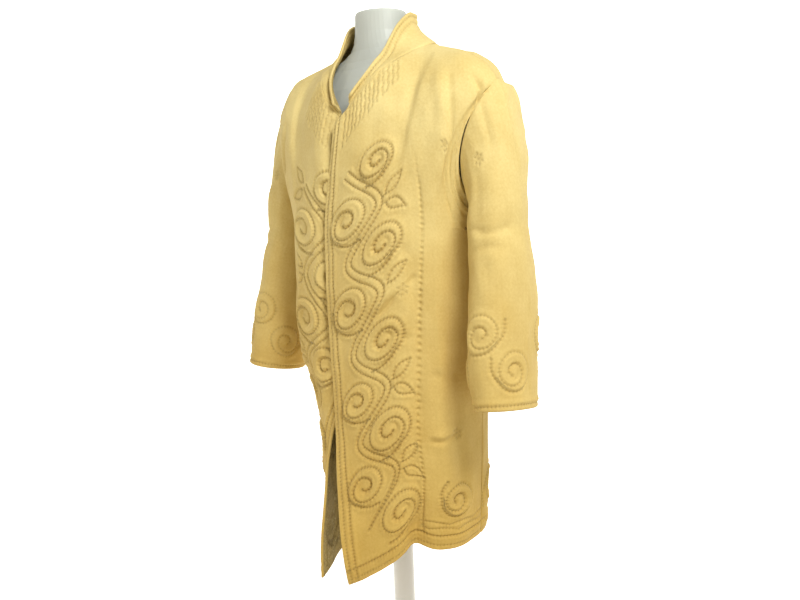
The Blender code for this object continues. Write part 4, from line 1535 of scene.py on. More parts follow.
@dataclass(frozen=True)
class LiningFinish(Finish):
    """Thin lining with a small mottled leaf print."""

    ground: Row = (0.62, 0.46, 0.18)
    leaf: Row = (0.28, 0.22, 0.06)
    spot: Row = (0.84, 0.70, 0.36)
    # colour of the painted shadow in stitch holes, grooves and puckers
    hole: Row = (0.06, 0.035, 0.012)
    # painted shade: 1 for the lit lining, less for a shaded copy of the same print
    shade: float = 1.0

    def make(self) -> bpy.types.Material:
        """Make the lining.

        Returns:
            The material.
        """
        tree = NodeTree(self.name)
        place = tree.add("UVMap", uv_map="metres").outputs[0]
        bend = tree.add("TexNoise", {"Vector": place, "Scale": 60.0, "Detail": 1.0})
        bend = {0: bend.outputs["Color"], "Scale": 0.012}
        bend = tree.add("VectorMath", bend, operation="SCALE").outputs[0]
        moved = tree.add("VectorMath", {0: place, 1: bend}, operation="ADD")
        cells = tree.add("TexVoronoi", {"Vector": moved.outputs[0], "Scale": 85.0})
        print_tone = tree.ramp(
            cells.outputs["Distance"],
            ((0.16, self.spot), (0.30, self.leaf), (0.48, self.ground), (0.70, self.leaf)),
        )
        broad = tree.add("TexNoise", {"Vector": place, "Scale": 22.0, "Detail": 2.0})
        colour = tree.mix(broad.outputs["Fac"], print_tone, (*self.ground, 1.0))
        shade, sink = tree.stitches()
        # Painted shadow in the stitch holes, grooves and puckers
        colour = tree.mix(shade, colour, (*self.hole, 1.0))
        height = tree.math("MULTIPLY", sink, -1.0)
        bump = tree.add("Bump", {"Distance": 0.001, "Height": height})
        dim = (self.shade, self.shade, self.shade, 1.0)
        return tree.finish({
            "Base Color": tree.mix(1.0, colour, dim, "MULTIPLY"),
            "Roughness": 0.75,
            "Specular IOR Level": 0.12,
            "Normal": bump.outputs[0],
        })


@dataclass(frozen=True)
class PlainFinish(Finish):
    """Paint or shell with a faint unevenness."""

    colour: Row = (0.80, 0.81, 0.79)
    rough: float = 0.4
    coat: float = 0.0
    shine: float = 0.5

    def make(self) -> bpy.types.Material:
        """Make the plain finish.

        Returns:
            The material.
        """
        tree = NodeTree(self.name)
        body = tree.add("TexCoord").outputs["Object"]
        cloud = tree.add("TexNoise", {"Vector": body, "Scale": 14.0, "Detail": 3.0})
        low = tuple(0.955 * c for c in self.colour)
        return tree.finish({
            "Base Color": tree.ramp(cloud.outputs["Fac"], ((0.35, low), (0.65, self.colour))),
            "Roughness": self.rough,
            "Coat Weight": self.coat,
            "Specular IOR Level": self.shine,
        })


class Piece:
    """Helpers that turn arrays into finished objects."""

    made: list[bpy.types.Object] = []

    @staticmethod
    def make(
        name: str,
        points: Grid,
        quads: Grid,
        finish: Finish,
        uv: Grid | None = None,
        stitch: Grid | None = None,
    ) -> bpy.types.Object:
        """Build a smooth mesh object.

        Args:
            name: the object's name.
            points: one row a vertex.
            quads: four indices a face.
            finish: its look.
            uv: panel coordinates in metres, one a vertex.
            stitch: where each vertex lies beside its nearest line, four values.

        Returns:
            The object, in the scene.
        """
        mesh = bpy.data.meshes.new(name)
        mesh.vertices.add(len(points))
        mesh.vertices.foreach_set("co", points.astype(np.float32).ravel())
        mesh.loops.add(quads.size)
        mesh.loops.foreach_set("vertex_index", quads.astype(np.int32).ravel())
        mesh.polygons.add(len(quads))
        mesh.polygons.foreach_set("loop_start", np.arange(0, quads.size, 4, dtype=np.int32))
        mesh.update(calc_edges=True)
        mesh.polygons.foreach_set("use_smooth", np.ones(len(quads), dtype=bool))
        if uv is not None:
            layer = mesh.uv_layers.new(name="metres")
            layer.data.foreach_set("uv", uv[quads.ravel()].astype(np.float32).ravel())
        if stitch is not None:
            layer = mesh.attributes.new("stitch", "FLOAT_VECTOR", "POINT")
            layer.data.foreach_set("vector", stitch[:, :3].astype(np.float32).ravel())
            layer = mesh.attributes.new("pull", "FLOAT", "POINT")
            layer.data.foreach_set("value", stitch[:, 3].astype(np.float32))
        mesh.materials.append(finish.material())
        thing = bpy.data.objects.new(name, mesh)
        bpy.context.scene.collection.objects.link(thing)
        return thing

    @staticmethod
    def ride(thing: bpy.types.Object, finish: Finish, nodes: Sequence[str] = ()) -> None:
        """Fix a finished object to the frame.

        Args:
            thing: the object.
            finish: its look, which names the record's slot; not used.
            nodes: frame nodes that it stands for.
        """
        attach(thing, "root")
        if nodes:
            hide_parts(*nodes)
        Piece.made.append(thing)
        log.info("%s: %d faces", thing.name, len(thing.data.polygons))


@dataclass(frozen=True)
class Thread:
    """The quilting thread, laid as short stitches by a node group that takes these values."""

    length: float = 0.0040
    radius: float = 0.00033
    uneven: float = 0.18
    seed: int = 7

    def group(self, finish: Finish) -> bpy.types.NodeTree:
        """Build the node group that lays one stitch on each point.

        Args:
            finish: the thread's look.

        Returns:
            The group, with named inputs.
        """
        group = bpy.data.node_groups.new("stitches", "GeometryNodeTree")
        face = group.interface
        face.new_socket("Geometry", in_out="INPUT", socket_type="NodeSocketGeometry")
        for name in ("Length", "Radius", "Uneven", "Seed"):
            kind = "NodeSocketInt" if name == "Seed" else "NodeSocketFloat"
            face.new_socket(name, in_out="INPUT", socket_type=kind)
        face.new_socket("Geometry", in_out="OUTPUT", socket_type="NodeSocketGeometry")
        nodes = Nodes(group)
        ends = nodes.add("NodeGroupInput").outputs
        bead = nodes.add("GeometryNodeMeshUVSphere", {"Segments": 5, "Rings": 3, "Radius": 1.0})
        half = nodes.add("ShaderNodeMath", {0: ends["Length"], 1: 0.5}, operation="MULTIPLY")
        size = {"X": half.outputs[0], "Y": ends["Radius"], "Z": ends["Radius"]}
        size = nodes.add("ShaderNodeCombineXYZ", size).outputs[0]
        stretch = {"Geometry": bead.outputs["Mesh"], "Scale": size}
        stretch = nodes.add("GeometryNodeTransform", stretch)
        turn = {"Name": "turn"}
        turn = nodes.add("GeometryNodeInputNamedAttribute", turn, data_type="FLOAT_VECTOR")
        rotation = {"Euler": turn.outputs["Attribute"]}
        rotation = nodes.add("FunctionNodeEulerToRotation", rotation)
        low = nodes.add("ShaderNodeMath", {0: 1.0, 1: ends["Uneven"]}, operation="SUBTRACT")
        chance = {"Seed": ends["Seed"]}
        chance = nodes.add("FunctionNodeRandomValue", chance, data_type="FLOAT")
        floats = [s for s in chance.inputs if s.type == "VALUE" and s.enabled]
        nodes.feed(floats[0], low.outputs[0])
        nodes.feed(floats[1], 1.0)
        lay = {
            "Points": ends["Geometry"],
            "Instance": stretch.outputs["Geometry"],
            "Rotation": rotation.outputs[0],
            "Scale": [s for s in chance.outputs if s.type == "VALUE" and s.enabled][0],
        }
        lay = nodes.add("GeometryNodeInstanceOnPoints", lay).outputs["Instances"]
        real = nodes.add("GeometryNodeRealizeInstances", {"Geometry": lay}).outputs[0]
        dress = {"Geometry": real, "Material": finish.material()}
        dress = nodes.add("GeometryNodeSetMaterial", dress)
        nodes.add("NodeGroupOutput", {"Geometry": dress.outputs["Geometry"]})
        return group

    def sew(self, name: str, panel: Panel, finish: Finish) -> bpy.types.Object:
        """Lay the stitches of one panel.

        Args:
            name: the object's name.
            panel: the shaped panel.
            finish: the thread's look.

        Returns:
            A plain mesh object.
        """
        middles, turns = panel.stitch_places()
        points = bpy.data.meshes.new(name + "_points")
        points.vertices.add(len(middles))
        points.vertices.foreach_set("co", middles.astype(np.float32).ravel())
        layer = points.attributes.new("turn", "FLOAT_VECTOR", "POINT")
        layer.data.foreach_set("vector", turns.astype(np.float32).ravel())
        holder = bpy.data.objects.new(name + "_points", points)
        bpy.context.scene.collection.objects.link(holder)
        group = bpy.data.node_groups.get("stitches") or self.group(finish)
        modifier = holder.modifiers.new("stitches", "NODES")
        modifier.node_group = group
        wanted = {key.capitalize(): value for key, value in vars(self).items()}
        for item in group.interface.items_tree:
            if item.in_out == "INPUT" and item.name in wanted:
                modifier[item.identifier] = wanted[item.name]
        graph = bpy.context.evaluated_depsgraph_get()
        mesh = bpy.data.meshes.new_from_object(holder.evaluated_get(graph), depsgraph=graph)
        bpy.data.objects.remove(holder)
        mesh.name = name
        mesh.polygons.foreach_set("use_smooth", np.ones(len(mesh.polygons), dtype=bool))
        thing = bpy.data.objects.new(name, mesh)
        bpy.context.scene.collection.objects.link(thing)
        return thing


def leaf(u: float, v: float, length: float, width: float, angle: float) -> Grid:
    """Outline of a quilted leaf.

    Args:
        u: place of its foot.
        v: place of its foot.
        length: from foot to tip.
        width: across its middle.
        angle: degrees of its axis from the u direction.

    Returns:
        A closed line.
    """
    t = np.linspace(0.0, 1.0, LEAF_POINTS)
    half = 0.5 * width * np.sin(math.pi * t**LEAF_BELLY)
    x = np.concatenate([t, t[::-1]]) * length
    y = np.concatenate([half, -half[::-1]])
    turn = math.radians(angle)
    across = u + x * math.cos(turn) - y * math.sin(turn)
    return np.stack([across, v + x * math.sin(turn) + y * math.cos(turn)], axis=1)


def knot(u: float, v: float) -> list[Grid]:
    """Small knot of crossing stitches.

    Args:
        u: its place across.
        v: its place up.

    Returns:
        Its lines.
    """
    lines = []
    for angle in KNOT_ANGLES:
        turn = math.radians(angle)
        way = np.array([math.cos(turn), math.sin(turn)]) * KNOT_SIZE * 0.5
        lines.append(np.array([[u, v] - way, [u, v] + way]))
    return lines


# Running scroll up each front edge, in metres: a waving stem with a curl in every bend
CURL_RADII = (0.039, 0.036, 0.041, 0.035, 0.038, 0.040, 0.036, 0.039, 0.034)
CURL_FOOT = 0.080
CURL_STEP = 0.081
CURL_FLAT = 0.93  # height against width
CURL_START = (90.0, -150.0)  # degrees, and what the way it faces adds
CURL_DRIFT = ((0.003, 2.1), (0.004, 1.3))  # across and up: size and beat of its unevenness
STEM_AT = 0.088
STEM_SWING = 0.033
STEM_HALF = 0.0062
STEM_STEPS = 16
STEM_TAPER = 6.0  # it is whole after one part in so many of its length
STEM_PULL = 0.9
LEAF_AT = 0.134
LEAF_SIZE = (0.041, 0.018)
LEAF_POINTS = 24
LEAF_BELLY = 0.8  # below 1 puts the widest place nearer the foot
LEAF_PULL = 0.8
LEAF_TURNS = (38.0, -34.0)  # degrees from the u direction
LEAF_SPREAD = 0.0002  # metres up a degree of turn
BARE_LEAF = (5, -34.0)  # curl and turn of the leaf that a knot leaves no room for

# Hem of a front, towards the side seam: a curl and scalloped rows
HEM_SPAN = (0.170, 0.400)
HEM_ROWS = 2
HEM_ROW_AT = 0.034
HEM_ROW_STEP = 0.011
HEM_ROW_PULL = 0.6
HEM_ROW_POINTS = 90
SCALLOP_DEPTH = 0.005
SCALLOP_BEAT = 52.0

# Echo rows beside the neck edge, below the collar
ECHO_ROWS = 13
ECHO_AT = 0.034
ECHO_STEP = 0.0105
ECHO_FOOT = 0.785
ECHO_RISE = 0.006
ECHO_TOP = 0.925
ECHO_WAVER = 0.0012
ECHO_BEAT = 340.0
ECHO_SHIFT = 1.9
ECHO_PULL = 0.45
ECHO_LEAST = 8  # points of the shortest row

# Sewing details: dart, and knots of crossing stitches
LEFT_DART = (
    (0.197, 0.695), (0.193, 0.560), (0.189, 0.455), (0.176, 0.300), (0.166, 0.169), (0.171, 0.030),
)
DART_PULL = 0.14
DART_STEPS = 40
LEFT_KNOTS = ((0.265, 0.717), (0.160, 0.474), (0.244, 0.217))
SLEEVE_KNOT = (0.083, 0.405)
KNOT_ANGLES = (20.0, 80.0, 140.0)
KNOT_SIZE = 0.016
KNOT_PULL = 0.55

# Lines beside the edges: edge, metres from it, how hard the thread pulls
FRONT_SEAMS = (
    ("first", 0.0055, 0.8),
    ("first", 0.0175, 0.85),
    ("bottom", 0.0060, 0.6),
    ("bottom", 0.0240, 0.9),
)
BACK_SEAMS = (("bottom", 0.0060, 0.6), ("bottom", 0.0240, 0.9))
SLEEVE_SEAMS = (("bottom", 0.0055, 0.8),)
COLLAR_SEAMS = (("top", 0.0055, 0.7), ("top", 0.0170, 0.5))

LEFT_CREASES = (
    Crease(
        "dart_line",
        ((0.197, 0.70), (0.190, 0.46), (0.168, 0.17), (0.171, -0.01)),
        0.0030, 0.0022, 0.12,
    ),
    Crease(
        "dart_hollow",
        ((0.197, 0.68), (0.190, 0.46), (0.168, 0.17), (0.171, 0.0)),
        0.014, 0.0014,
    ),
    Crease("pull_low", ((0.100, 0.446), (0.130, 0.458), (0.160, 0.474)), 0.0050, 0.0034, 0.35),
    Crease("pull_ridge", ((0.096, 0.458), (0.128, 0.472), (0.156, 0.486)), 0.0070, -0.0026, 0.35),
    Crease("pull_side", ((0.160, 0.474), (0.176, 0.488), (0.188, 0.500)), 0.0050, 0.0022, 0.4),
    Crease("knot_low", ((0.181, 0.203), (0.215, 0.206), (0.244, 0.217)), 0.0055, 0.0026, 0.3),
    Crease("knot_ridge", ((0.186, 0.214), (0.218, 0.218), (0.244, 0.230)), 0.0070, -0.0020, 0.3),
    Crease(
        "armhole_fold",
        ((0.318, 0.850), (0.380, 0.812), (0.440, 0.784), (0.500, 0.755)),
        0.0080, 0.0040,
    ),
    Crease("chest_fold", ((0.285, 0.850), (0.286, 0.780), (0.288, 0.710)), 0.0080, 0.0028),
    Crease("chest_swell", ((0.262, 0.850), (0.262, 0.780), (0.256, 0.700)), 0.0140, -0.0022),
    Crease("chest_low", ((0.290, 0.700), (0.270, 0.640), (0.262, 0.560)), 0.0100, 0.0020),
    Crease(
        "side_long",
        ((0.262, 0.640), (0.256, 0.420), (0.246, 0.200), (0.244, 0.040)),
        0.0180, 0.0034,
    ),
    Crease(
        "side_swell",
        ((0.226, 0.600), (0.222, 0.400), (0.212, 0.200), (0.206, 0.060)),
        0.0150, -0.0030,
    ),
    Crease("seat_fold", ((0.196, 0.330), (0.230, 0.318), (0.262, 0.330)), 0.0090, 0.0020),
    Crease("edge_fold", ((0.150, 0.560), (0.170, 0.520), (0.172, 0.440)), 0.0110, 0.0018),
    Crease("low_edge", ((0.120, 0.420), (0.150, 0.400), (0.176, 0.380)), 0.0080, 0.0022),
    Crease("neck_soft", ((0.150, 0.930), (0.110, 0.870), (0.062, 0.800)), 0.0100, 0.0016),
)
RIGHT_CREASES = (
    Crease(
        "long_fold",
        ((0.175, 0.700), (0.178, 0.480), (0.180, 0.260), (0.182, 0.100)),
        0.0160, 0.0036,
    ),
    Crease("long_swell", ((0.145, 0.700), (0.150, 0.480), (0.152, 0.300)), 0.0140, -0.0026),
    Crease("edge_soft", ((0.070, 0.640), (0.060, 0.500), (0.058, 0.360)), 0.0120, 0.0026),
    Crease("armhole_fold", ((0.318, 0.850), (0.370, 0.815), (0.430, 0.785)), 0.0080, 0.0032),
    Crease("slant_a", ((0.150, 0.420), (0.190, 0.400), (0.235, 0.400)), 0.0090, 0.0022),
    Crease("slant_b", ((0.140, 0.300), (0.175, 0.270), (0.220, 0.262)), 0.0090, 0.0024),
    Crease("chest_fold", ((0.250, 0.850), (0.248, 0.780), (0.250, 0.700)), 0.0100, 0.0026),
)
BACK_CREASES = (
    Crease("fold_left", ((0.150, 0.700), (0.140, 0.400), (0.130, 0.080)), 0.0180, 0.0036),
    Crease("fold_middle", ((0.300, 0.620), (0.300, 0.350), (0.296, 0.060)), 0.0200, 0.0030),
    Crease("fold_right", ((0.470, 0.700), (0.476, 0.400), (0.480, 0.080)), 0.0180, 0.0038),
    Crease("swell_left", ((0.210, 0.680), (0.206, 0.400), (0.200, 0.100)), 0.0180, -0.0028),
    Crease("swell_right", ((0.400, 0.680), (0.404, 0.400), (0.410, 0.100)), 0.0180, -0.0028),
    Crease("shoulder", ((0.500, 0.840), (0.620, 0.850), (0.760, 0.850)), 0.0160, 0.0022),
)
# From the cuff up; a sleeve's u starts at the shoulder's end and runs down the front
SLEEVE_CREASES = (
    Crease("elbow_a", ((0.020, 0.300), (0.070, 0.285), (0.120, 0.300)), 0.0080, 0.0022),
    Crease("elbow_b", ((0.040, 0.255), (0.085, 0.262), (0.130, 0.250)), 0.0090, 0.0018),
    Crease("fore_long", ((0.095, 0.400), (0.088, 0.300), (0.084, 0.170)), 0.0120, 0.0022),
    Crease("fore_swell", ((0.060, 0.400), (0.055, 0.300), (0.052, 0.160)), 0.0140, -0.0020),
    Crease("cap_long", ((0.050, 0.520), (0.052, 0.470), (0.050, 0.400)), 0.0090, 0.0022),
    Crease("back_long", ((0.320, 0.440), (0.315, 0.320), (0.310, 0.180)), 0.0120, 0.0026),
    Crease("under", ((0.200, 0.400), (0.205, 0.320), (0.200, 0.240)), 0.0100, 0.0024),
)

# Dense grids
FRONT_ROWS = 470
FRONT_COLUMNS = 190
FRONT_NEAR = (0.56, 0.72)  # share of the width beside the front edge, and of the columns
BACK_ROWS = 330
BACK_COLUMNS = 240
SLEEVE_ROWS = 250
SLEEVE_COLUMNS = 200
COLLAR_ROWS_FINE = 46
COLLAR_COLUMNS = 330


@dataclass(frozen=True)
class Border:
    """Scrolls in a row above a hem, every second one at another height."""

    low: float
    lift: float
    radius: float
    start: float  # degrees, where a line comes in ...
    swing: float  # ... and how far that turns with its hand
    strength: float

    def lay(self, quilting: Quilting, places: Sequence[float]) -> None:
        """Lay the scrolls.

        Args:
            quilting: takes the lines.
            places: where they lie across the panel.
        """
        for k, u in enumerate(places):
            hand = 1 if k % 2 else -1
            turn = self.start + self.swing * hand
            v = self.low + self.lift * (k % 2)
            quilting.scroll(Scroll(u, v, self.radius, turn, hand), self.strength)


HEM_CURL = Scroll(0.236, 0.092, 0.034, 180.0, 1, 0.9)
BACK_BORDER = Border(0.085, 0.050, 0.036, 200.0, 40.0, 0.7)
BACK_SCROLLS = 7
BACK_FIRST = 0.045
BACK_STEP = 0.083
SLEEVE_BORDER = Border(0.060, 0.062, 0.033, 90.0, 120.0, 0.65)
SLEEVE_SCROLLS = 6
SLEEVE_FIRST = 0.62  # share of a step


@dataclass(frozen=True)
class Looks:
    """Finishes of a panel's outer face, inner face and stitches."""

    wool: Finish
    lining: Finish
    thread: Finish


@dataclass(frozen=True)
class Cut:
    """Flat cut of a panel, in metres."""

    width: float
    length: float
    area: float


# Bounding width and length, and the area inside
FRONT_CUT = Cut(0.42, 1.00, 0.285)
BACK_CUT = Cut(0.64, 0.98, 0.500)
SLEEVE_CUT = Cut(0.44, 0.56, 0.185)
COLLAR_CUT = Cut(0.70, 0.09, 0.036)


@dataclass
class ClothPiece:
    """One panel with its inner face and its stitches, ready to be dressed."""

    panel: Panel
    cut: Cut
    looks: Looks
    nodes: tuple[str, ...]
    inner_nodes: tuple[str, ...] = ()
    inner_step: int = 3

    def dress(self, thread: Thread) -> None:
        """Args:
            thread: lays the stitches.
        """
        panel, looks = self.panel, self.looks
        panel.shape()
        outer = panel.mesh(looks.wool)
        inner = panel.inside(looks.lining, self.inner_step, panel.name + "_inside")
        stitches = thread.sew(panel.name + "_stitches", panel, looks.thread)
        Piece.ride(outer, looks.wool, self.nodes)
        Piece.ride(inner, looks.lining, self.inner_nodes)
        Piece.ride(stitches, looks.thread)


@dataclass
class Front:
    """A front of the coat with its running scroll, echo rows and long creases."""

    side: int
    grid: Grid
    creases: Sequence[Crease]

    def piece(self, looks: Looks) -> ClothPiece:
        """Lay out the front.

        Args:
            looks: its finishes.

        Returns:
            The piece, ready to be dressed.
        """
        word = "left" if self.side > 0 else "right"
        quilting = Quilting(creases=list(self.creases), seed=2.0 + self.side)
        panel = Panel(
            "cloth_front_" + word, self.grid, float(self.side), FRONT_ROWS, FRONT_COLUMNS, quilting,
            free=("first", "bottom"), near_share=FRONT_NEAR[0], near_columns=FRONT_NEAR[1],
        )
        panel.measure()
        panel.seams(FRONT_SEAMS)
        self.running_scroll(quilting)
        self.hem_scroll(quilting)
        self.echo_rows(quilting, panel)
        if self.side > 0:
            quilting.add(curve(LEFT_DART, DART_STEPS), DART_PULL)
            for place in LEFT_KNOTS:
                for line in knot(*place):
                    quilting.add(line, KNOT_PULL)
        inner = ("front_right_lining",) if self.side < 0 else ()
        return ClothPiece(panel, FRONT_CUT, looks, ("front_" + word,), inner)

    def running_scroll(self, quilting: Quilting) -> None:
        """Lay the stem, its curls and its leaves.

        Args:
            quilting: takes the lines.
        """
        stem = []
        start, turned = CURL_START
        (across, across_beat), (up, up_beat) = CURL_DRIFT
        for k, radius in enumerate(CURL_RADII):
            way = 1 if (k % 2 == 0) == (self.side > 0) else -1
            v = CURL_FOOT + CURL_STEP * k + up * math.sin(up_beat * k + self.side)
            u = STEM_AT + STEM_SWING * way + across * math.sin(across_beat * k + self.side)
            quilting.scroll(Scroll(u, v, radius, start + turned * way, way, CURL_FLAT))
            stem.append((STEM_AT - STEM_SWING * way, v))
            for angle in LEAF_TURNS if way < 0 else ():
                if (k, angle) != BARE_LEAF:
                    outline = leaf(LEAF_AT, v + LEAF_SPREAD * angle, *LEAF_SIZE, angle)
                    quilting.add(outline, LEAF_PULL)
        quilting.vine(stem, STEM_HALF, STEM_PULL)

    @staticmethod
    def hem_scroll(quilting: Quilting) -> None:
        """Lay a curl and scalloped rows along the hem, towards the side seam.

        Args:
            quilting: takes the lines.
        """
        quilting.scroll(HEM_CURL)
        u = np.linspace(*HEM_SPAN, HEM_ROW_POINTS)
        for k in range(HEM_ROWS):
            scallop = SCALLOP_DEPTH * np.abs(np.sin(SCALLOP_BEAT * u + k))
            row = np.stack([u, HEM_ROW_AT + HEM_ROW_STEP * k + scallop], axis=1)
            quilting.add(row, HEM_ROW_PULL)

    @staticmethod
    def echo_rows(quilting: Quilting, panel: Panel) -> None:
        """Lay close rows beside the neck edge, below the collar.

        Args:
            quilting: takes the lines.
            panel: the measured panel.
        """
        for k in range(ECHO_ROWS):
            row = panel.along("first", ECHO_AT + ECHO_STEP * k)
            row = row[(row[:, 1] > ECHO_FOOT + ECHO_RISE * k) & (row[:, 1] < ECHO_TOP)]
            if len(row) >= ECHO_LEAST:
                row[:, 0] += ECHO_WAVER * np.sin(ECHO_BEAT * row[:, 1] + ECHO_SHIFT * k)
                quilting.add(row, ECHO_PULL)


@dataclass
class Back:
    """The back of the coat, plainly quilted along the hem."""

    grid: Grid

    def piece(self, looks: Looks) -> ClothPiece:
        """Lay out the back.

        Args:
            looks: its finishes.

        Returns:
            The piece, ready to be dressed.
        """
        quilting = Quilting(creases=list(BACK_CREASES), seed=5.0)
        panel = Panel(
            "cloth_back", self.grid, 1.0, BACK_ROWS, BACK_COLUMNS, quilting, free=("bottom",)
        )
        panel.measure()
        panel.seams(BACK_SEAMS)
        BACK_BORDER.lay(quilting, [BACK_FIRST + BACK_STEP * k for k in range(BACK_SCROLLS)])
        return ClothPiece(panel, BACK_CUT, looks, ("back",), inner_step=4)


@dataclass
class Sleeve:
    """A sleeve, scrolled above its cuff."""

    side: int
    grid: Grid

    def piece(self, looks: Looks) -> ClothPiece:
        """Lay out the sleeve, from the cuff up.

        Args:
            looks: its finishes.

        Returns:
            The piece, ready to be dressed.
        """
        word = "left" if self.side > 0 else "right"
        quilting = Quilting(creases=list(SLEEVE_CREASES), seed=8.0 + self.side, swell=0.0014)
        panel = Panel(
            "cloth_sleeve_" + word, self.grid[::-1], -float(self.side), SLEEVE_ROWS, SLEEVE_COLUMNS,
            quilting, closed=True, free=("bottom",),
        )
        panel.measure()
        panel.seams(SLEEVE_SEAMS)
        cuff = float(panel.u[0, -1])
        places = [(k + SLEEVE_FIRST) * cuff / SLEEVE_SCROLLS for k in range(SLEEVE_SCROLLS)]
        SLEEVE_BORDER.lay(quilting, places)
        for line in knot(*SLEEVE_KNOT):
            quilting.add(line, KNOT_PULL)
        return ClothPiece(panel, SLEEVE_CUT, looks, ("sleeve_" + word,), inner_step=4)


@dataclass
class Collar:
    """The stand collar, one band round the neck."""

    grid: Grid

    def piece(self, looks: Looks) -> ClothPiece:
        """Lay out the collar.

        Args:
            looks: its finishes.

        Returns:
            The piece, ready to be dressed.
        """
        quilting = Quilting(seed=11.0, swell=0.0005, puff=0.0010)
        panel = Panel(
            "cloth_collar", self.grid, 1.0, COLLAR_ROWS_FINE, COLLAR_COLUMNS, quilting,
            free=("top", "first", "last"),
        )
        panel.measure()
        panel.seams(COLLAR_SEAMS)
        return ClothPiece(panel, COLLAR_CUT, looks, ("collar",), ("collar_lining",))


# Room, in metres
ROOM_RADIUS = 4.2
ROOM_BEND = 1.2
ROOM_HEIGHT = 3.4
ROOM_STEPS = 12
ROOM_SIDES = 96
SKY_COLOUR = (1.0, 0.97, 0.90)
SKY_STRENGTH = 0.20
AIM = (0.1, -0.1, 1.15)

# Camera
CAMERA_AZIMUTH = 40.0  # degrees from the coat's front towards its left side
CAMERA_YAW = 0.532
CAMERA_PITCH = 9.5
CAMERA_ROLL = -2.1
CAMERA_LENS = 31.5  # millimetres, as the sensor
CAMERA_SENSOR = 36.0
CAMERA_DISTANCE = 1.35
CAMERA_HEIGHT = 1.155
CAMERA_NEAREST = 0.05


@dataclass
class Stand:
    """The form, pole and base, which stay as they are and get their looks."""

    shell: Finish
    paint: Finish

    def dress(self, nodes: dict[str, bpy.types.Object]) -> None:
        """Give the frame's own nodes their finishes.

        Args:
            nodes: the frame's objects by name.
        """
        looks = {"form_body": self.shell, "form_pole": self.paint, "form_base": self.paint}
        for name, finish in looks.items():
            mesh = nodes[name].data
            mesh.materials.clear()
            mesh.materials.append(finish.material())


@dataclass(frozen=True)
class Lamp:
    """A soft square lamp that looks at the coat."""

    name: str
    place: Row
    size: float
    watts: float
    colour: Row

    def hang(self) -> None:
        """Put the lamp into the scene."""
        data = bpy.data.lights.new(self.name, "AREA")
        data.size = self.size
        data.energy = self.watts
        data.color = self.colour
        lamp = bpy.data.objects.new(self.name, data)
        lamp.location = self.place
        aim = Vector(AIM) - Vector(self.place)
        lamp.rotation_euler = aim.to_track_quat("-Z", "Y").to_euler()
        bpy.context.scene.collection.objects.link(lamp)


@dataclass
class Studio:
    """Round pale room, lamps and camera."""

    lamps: Sequence[Lamp]

    def build(self) -> None:
        """Build the room, light it and place the camera."""
        self.room()
        for lamp in self.lamps:
            lamp.hang()
        world = bpy.data.worlds.new("sky")
        world.use_nodes = True
        background = world.node_tree.nodes["Background"]
        background.inputs["Color"].default_value = (*SKY_COLOUR, 1.0)
        background.inputs["Strength"].default_value = SKY_STRENGTH
        bpy.context.scene.world = world
        bpy.context.scene.view_settings.view_transform = "Standard"
        self.camera()

    @staticmethod
    def room() -> bpy.types.Object:
        """Floor that curves up into a round wall.

        Returns:
            The object.
        """
        flat = ROOM_RADIUS - ROOM_BEND
        profile = [(0.0, 0.0), (flat, 0.0)]
        for k in range(1, ROOM_STEPS + 1):
            turn = 0.5 * math.pi * k / ROOM_STEPS
            profile.append((flat + ROOM_BEND * math.sin(turn), ROOM_BEND * (1.0 - math.cos(turn))))
        profile.append((ROOM_RADIUS, ROOM_HEIGHT))
        angles = np.linspace(0.0, math.tau, ROOM_SIDES + 1)[:-1]
        rings = [[(r * math.cos(a), r * math.sin(a), z) for a in angles] for r, z in profile]
        index = np.arange(len(rings) * ROOM_SIDES).reshape(len(rings), ROOM_SIDES)
        ahead = np.roll(index, -1, axis=1)
        quads = np.stack([index[:-1], ahead[:-1], ahead[1:], index[1:]], axis=2).reshape(-1, 4)
        paper = RoomFinish("room", Slot.STAND)
        return Piece.make("room", np.array(rings).reshape(-1, 3), quads[:, ::-1], paper)

    @staticmethod
    def camera() -> None:
        """Place the camera where the picture was taken from."""
        side = math.radians(CAMERA_AZIMUTH)
        ahead = Vector((-math.sin(side), math.cos(side), 0.0))
        right = Vector((math.cos(side), math.sin(side), 0.0))
        up = Vector((0.0, 0.0, 1.0))
        yaw, pitch, roll = (math.radians(a) for a in (CAMERA_YAW, CAMERA_PITCH, CAMERA_ROLL))
        turned = ahead * math.cos(yaw) + right * math.sin(yaw)
        right = right * math.cos(yaw) - ahead * math.sin(yaw)
        look = turned * math.cos(pitch) - up * math.sin(pitch)
        top = up * math.cos(pitch) + turned * math.sin(pitch)
        across = right * math.cos(roll) + top * math.sin(roll)
        top = top * math.cos(roll) - right * math.sin(roll)
        data = bpy.data.cameras.new("camera")
        data.sensor_width = CAMERA_SENSOR
        data.lens = CAMERA_LENS
        data.clip_start = CAMERA_NEAREST
        camera = bpy.data.objects.new("camera", data)
        x, y = CAMERA_DISTANCE * math.sin(side), -CAMERA_DISTANCE * math.cos(side)
        place = Vector((x, y, CAMERA_HEIGHT))
        turn = Matrix((across, top, -look)).transposed()
        camera.matrix_world = Matrix.Translation(place) @ turn.to_4x4()
        bpy.context.scene.collection.objects.link(camera)
        bpy.context.scene.camera = camera


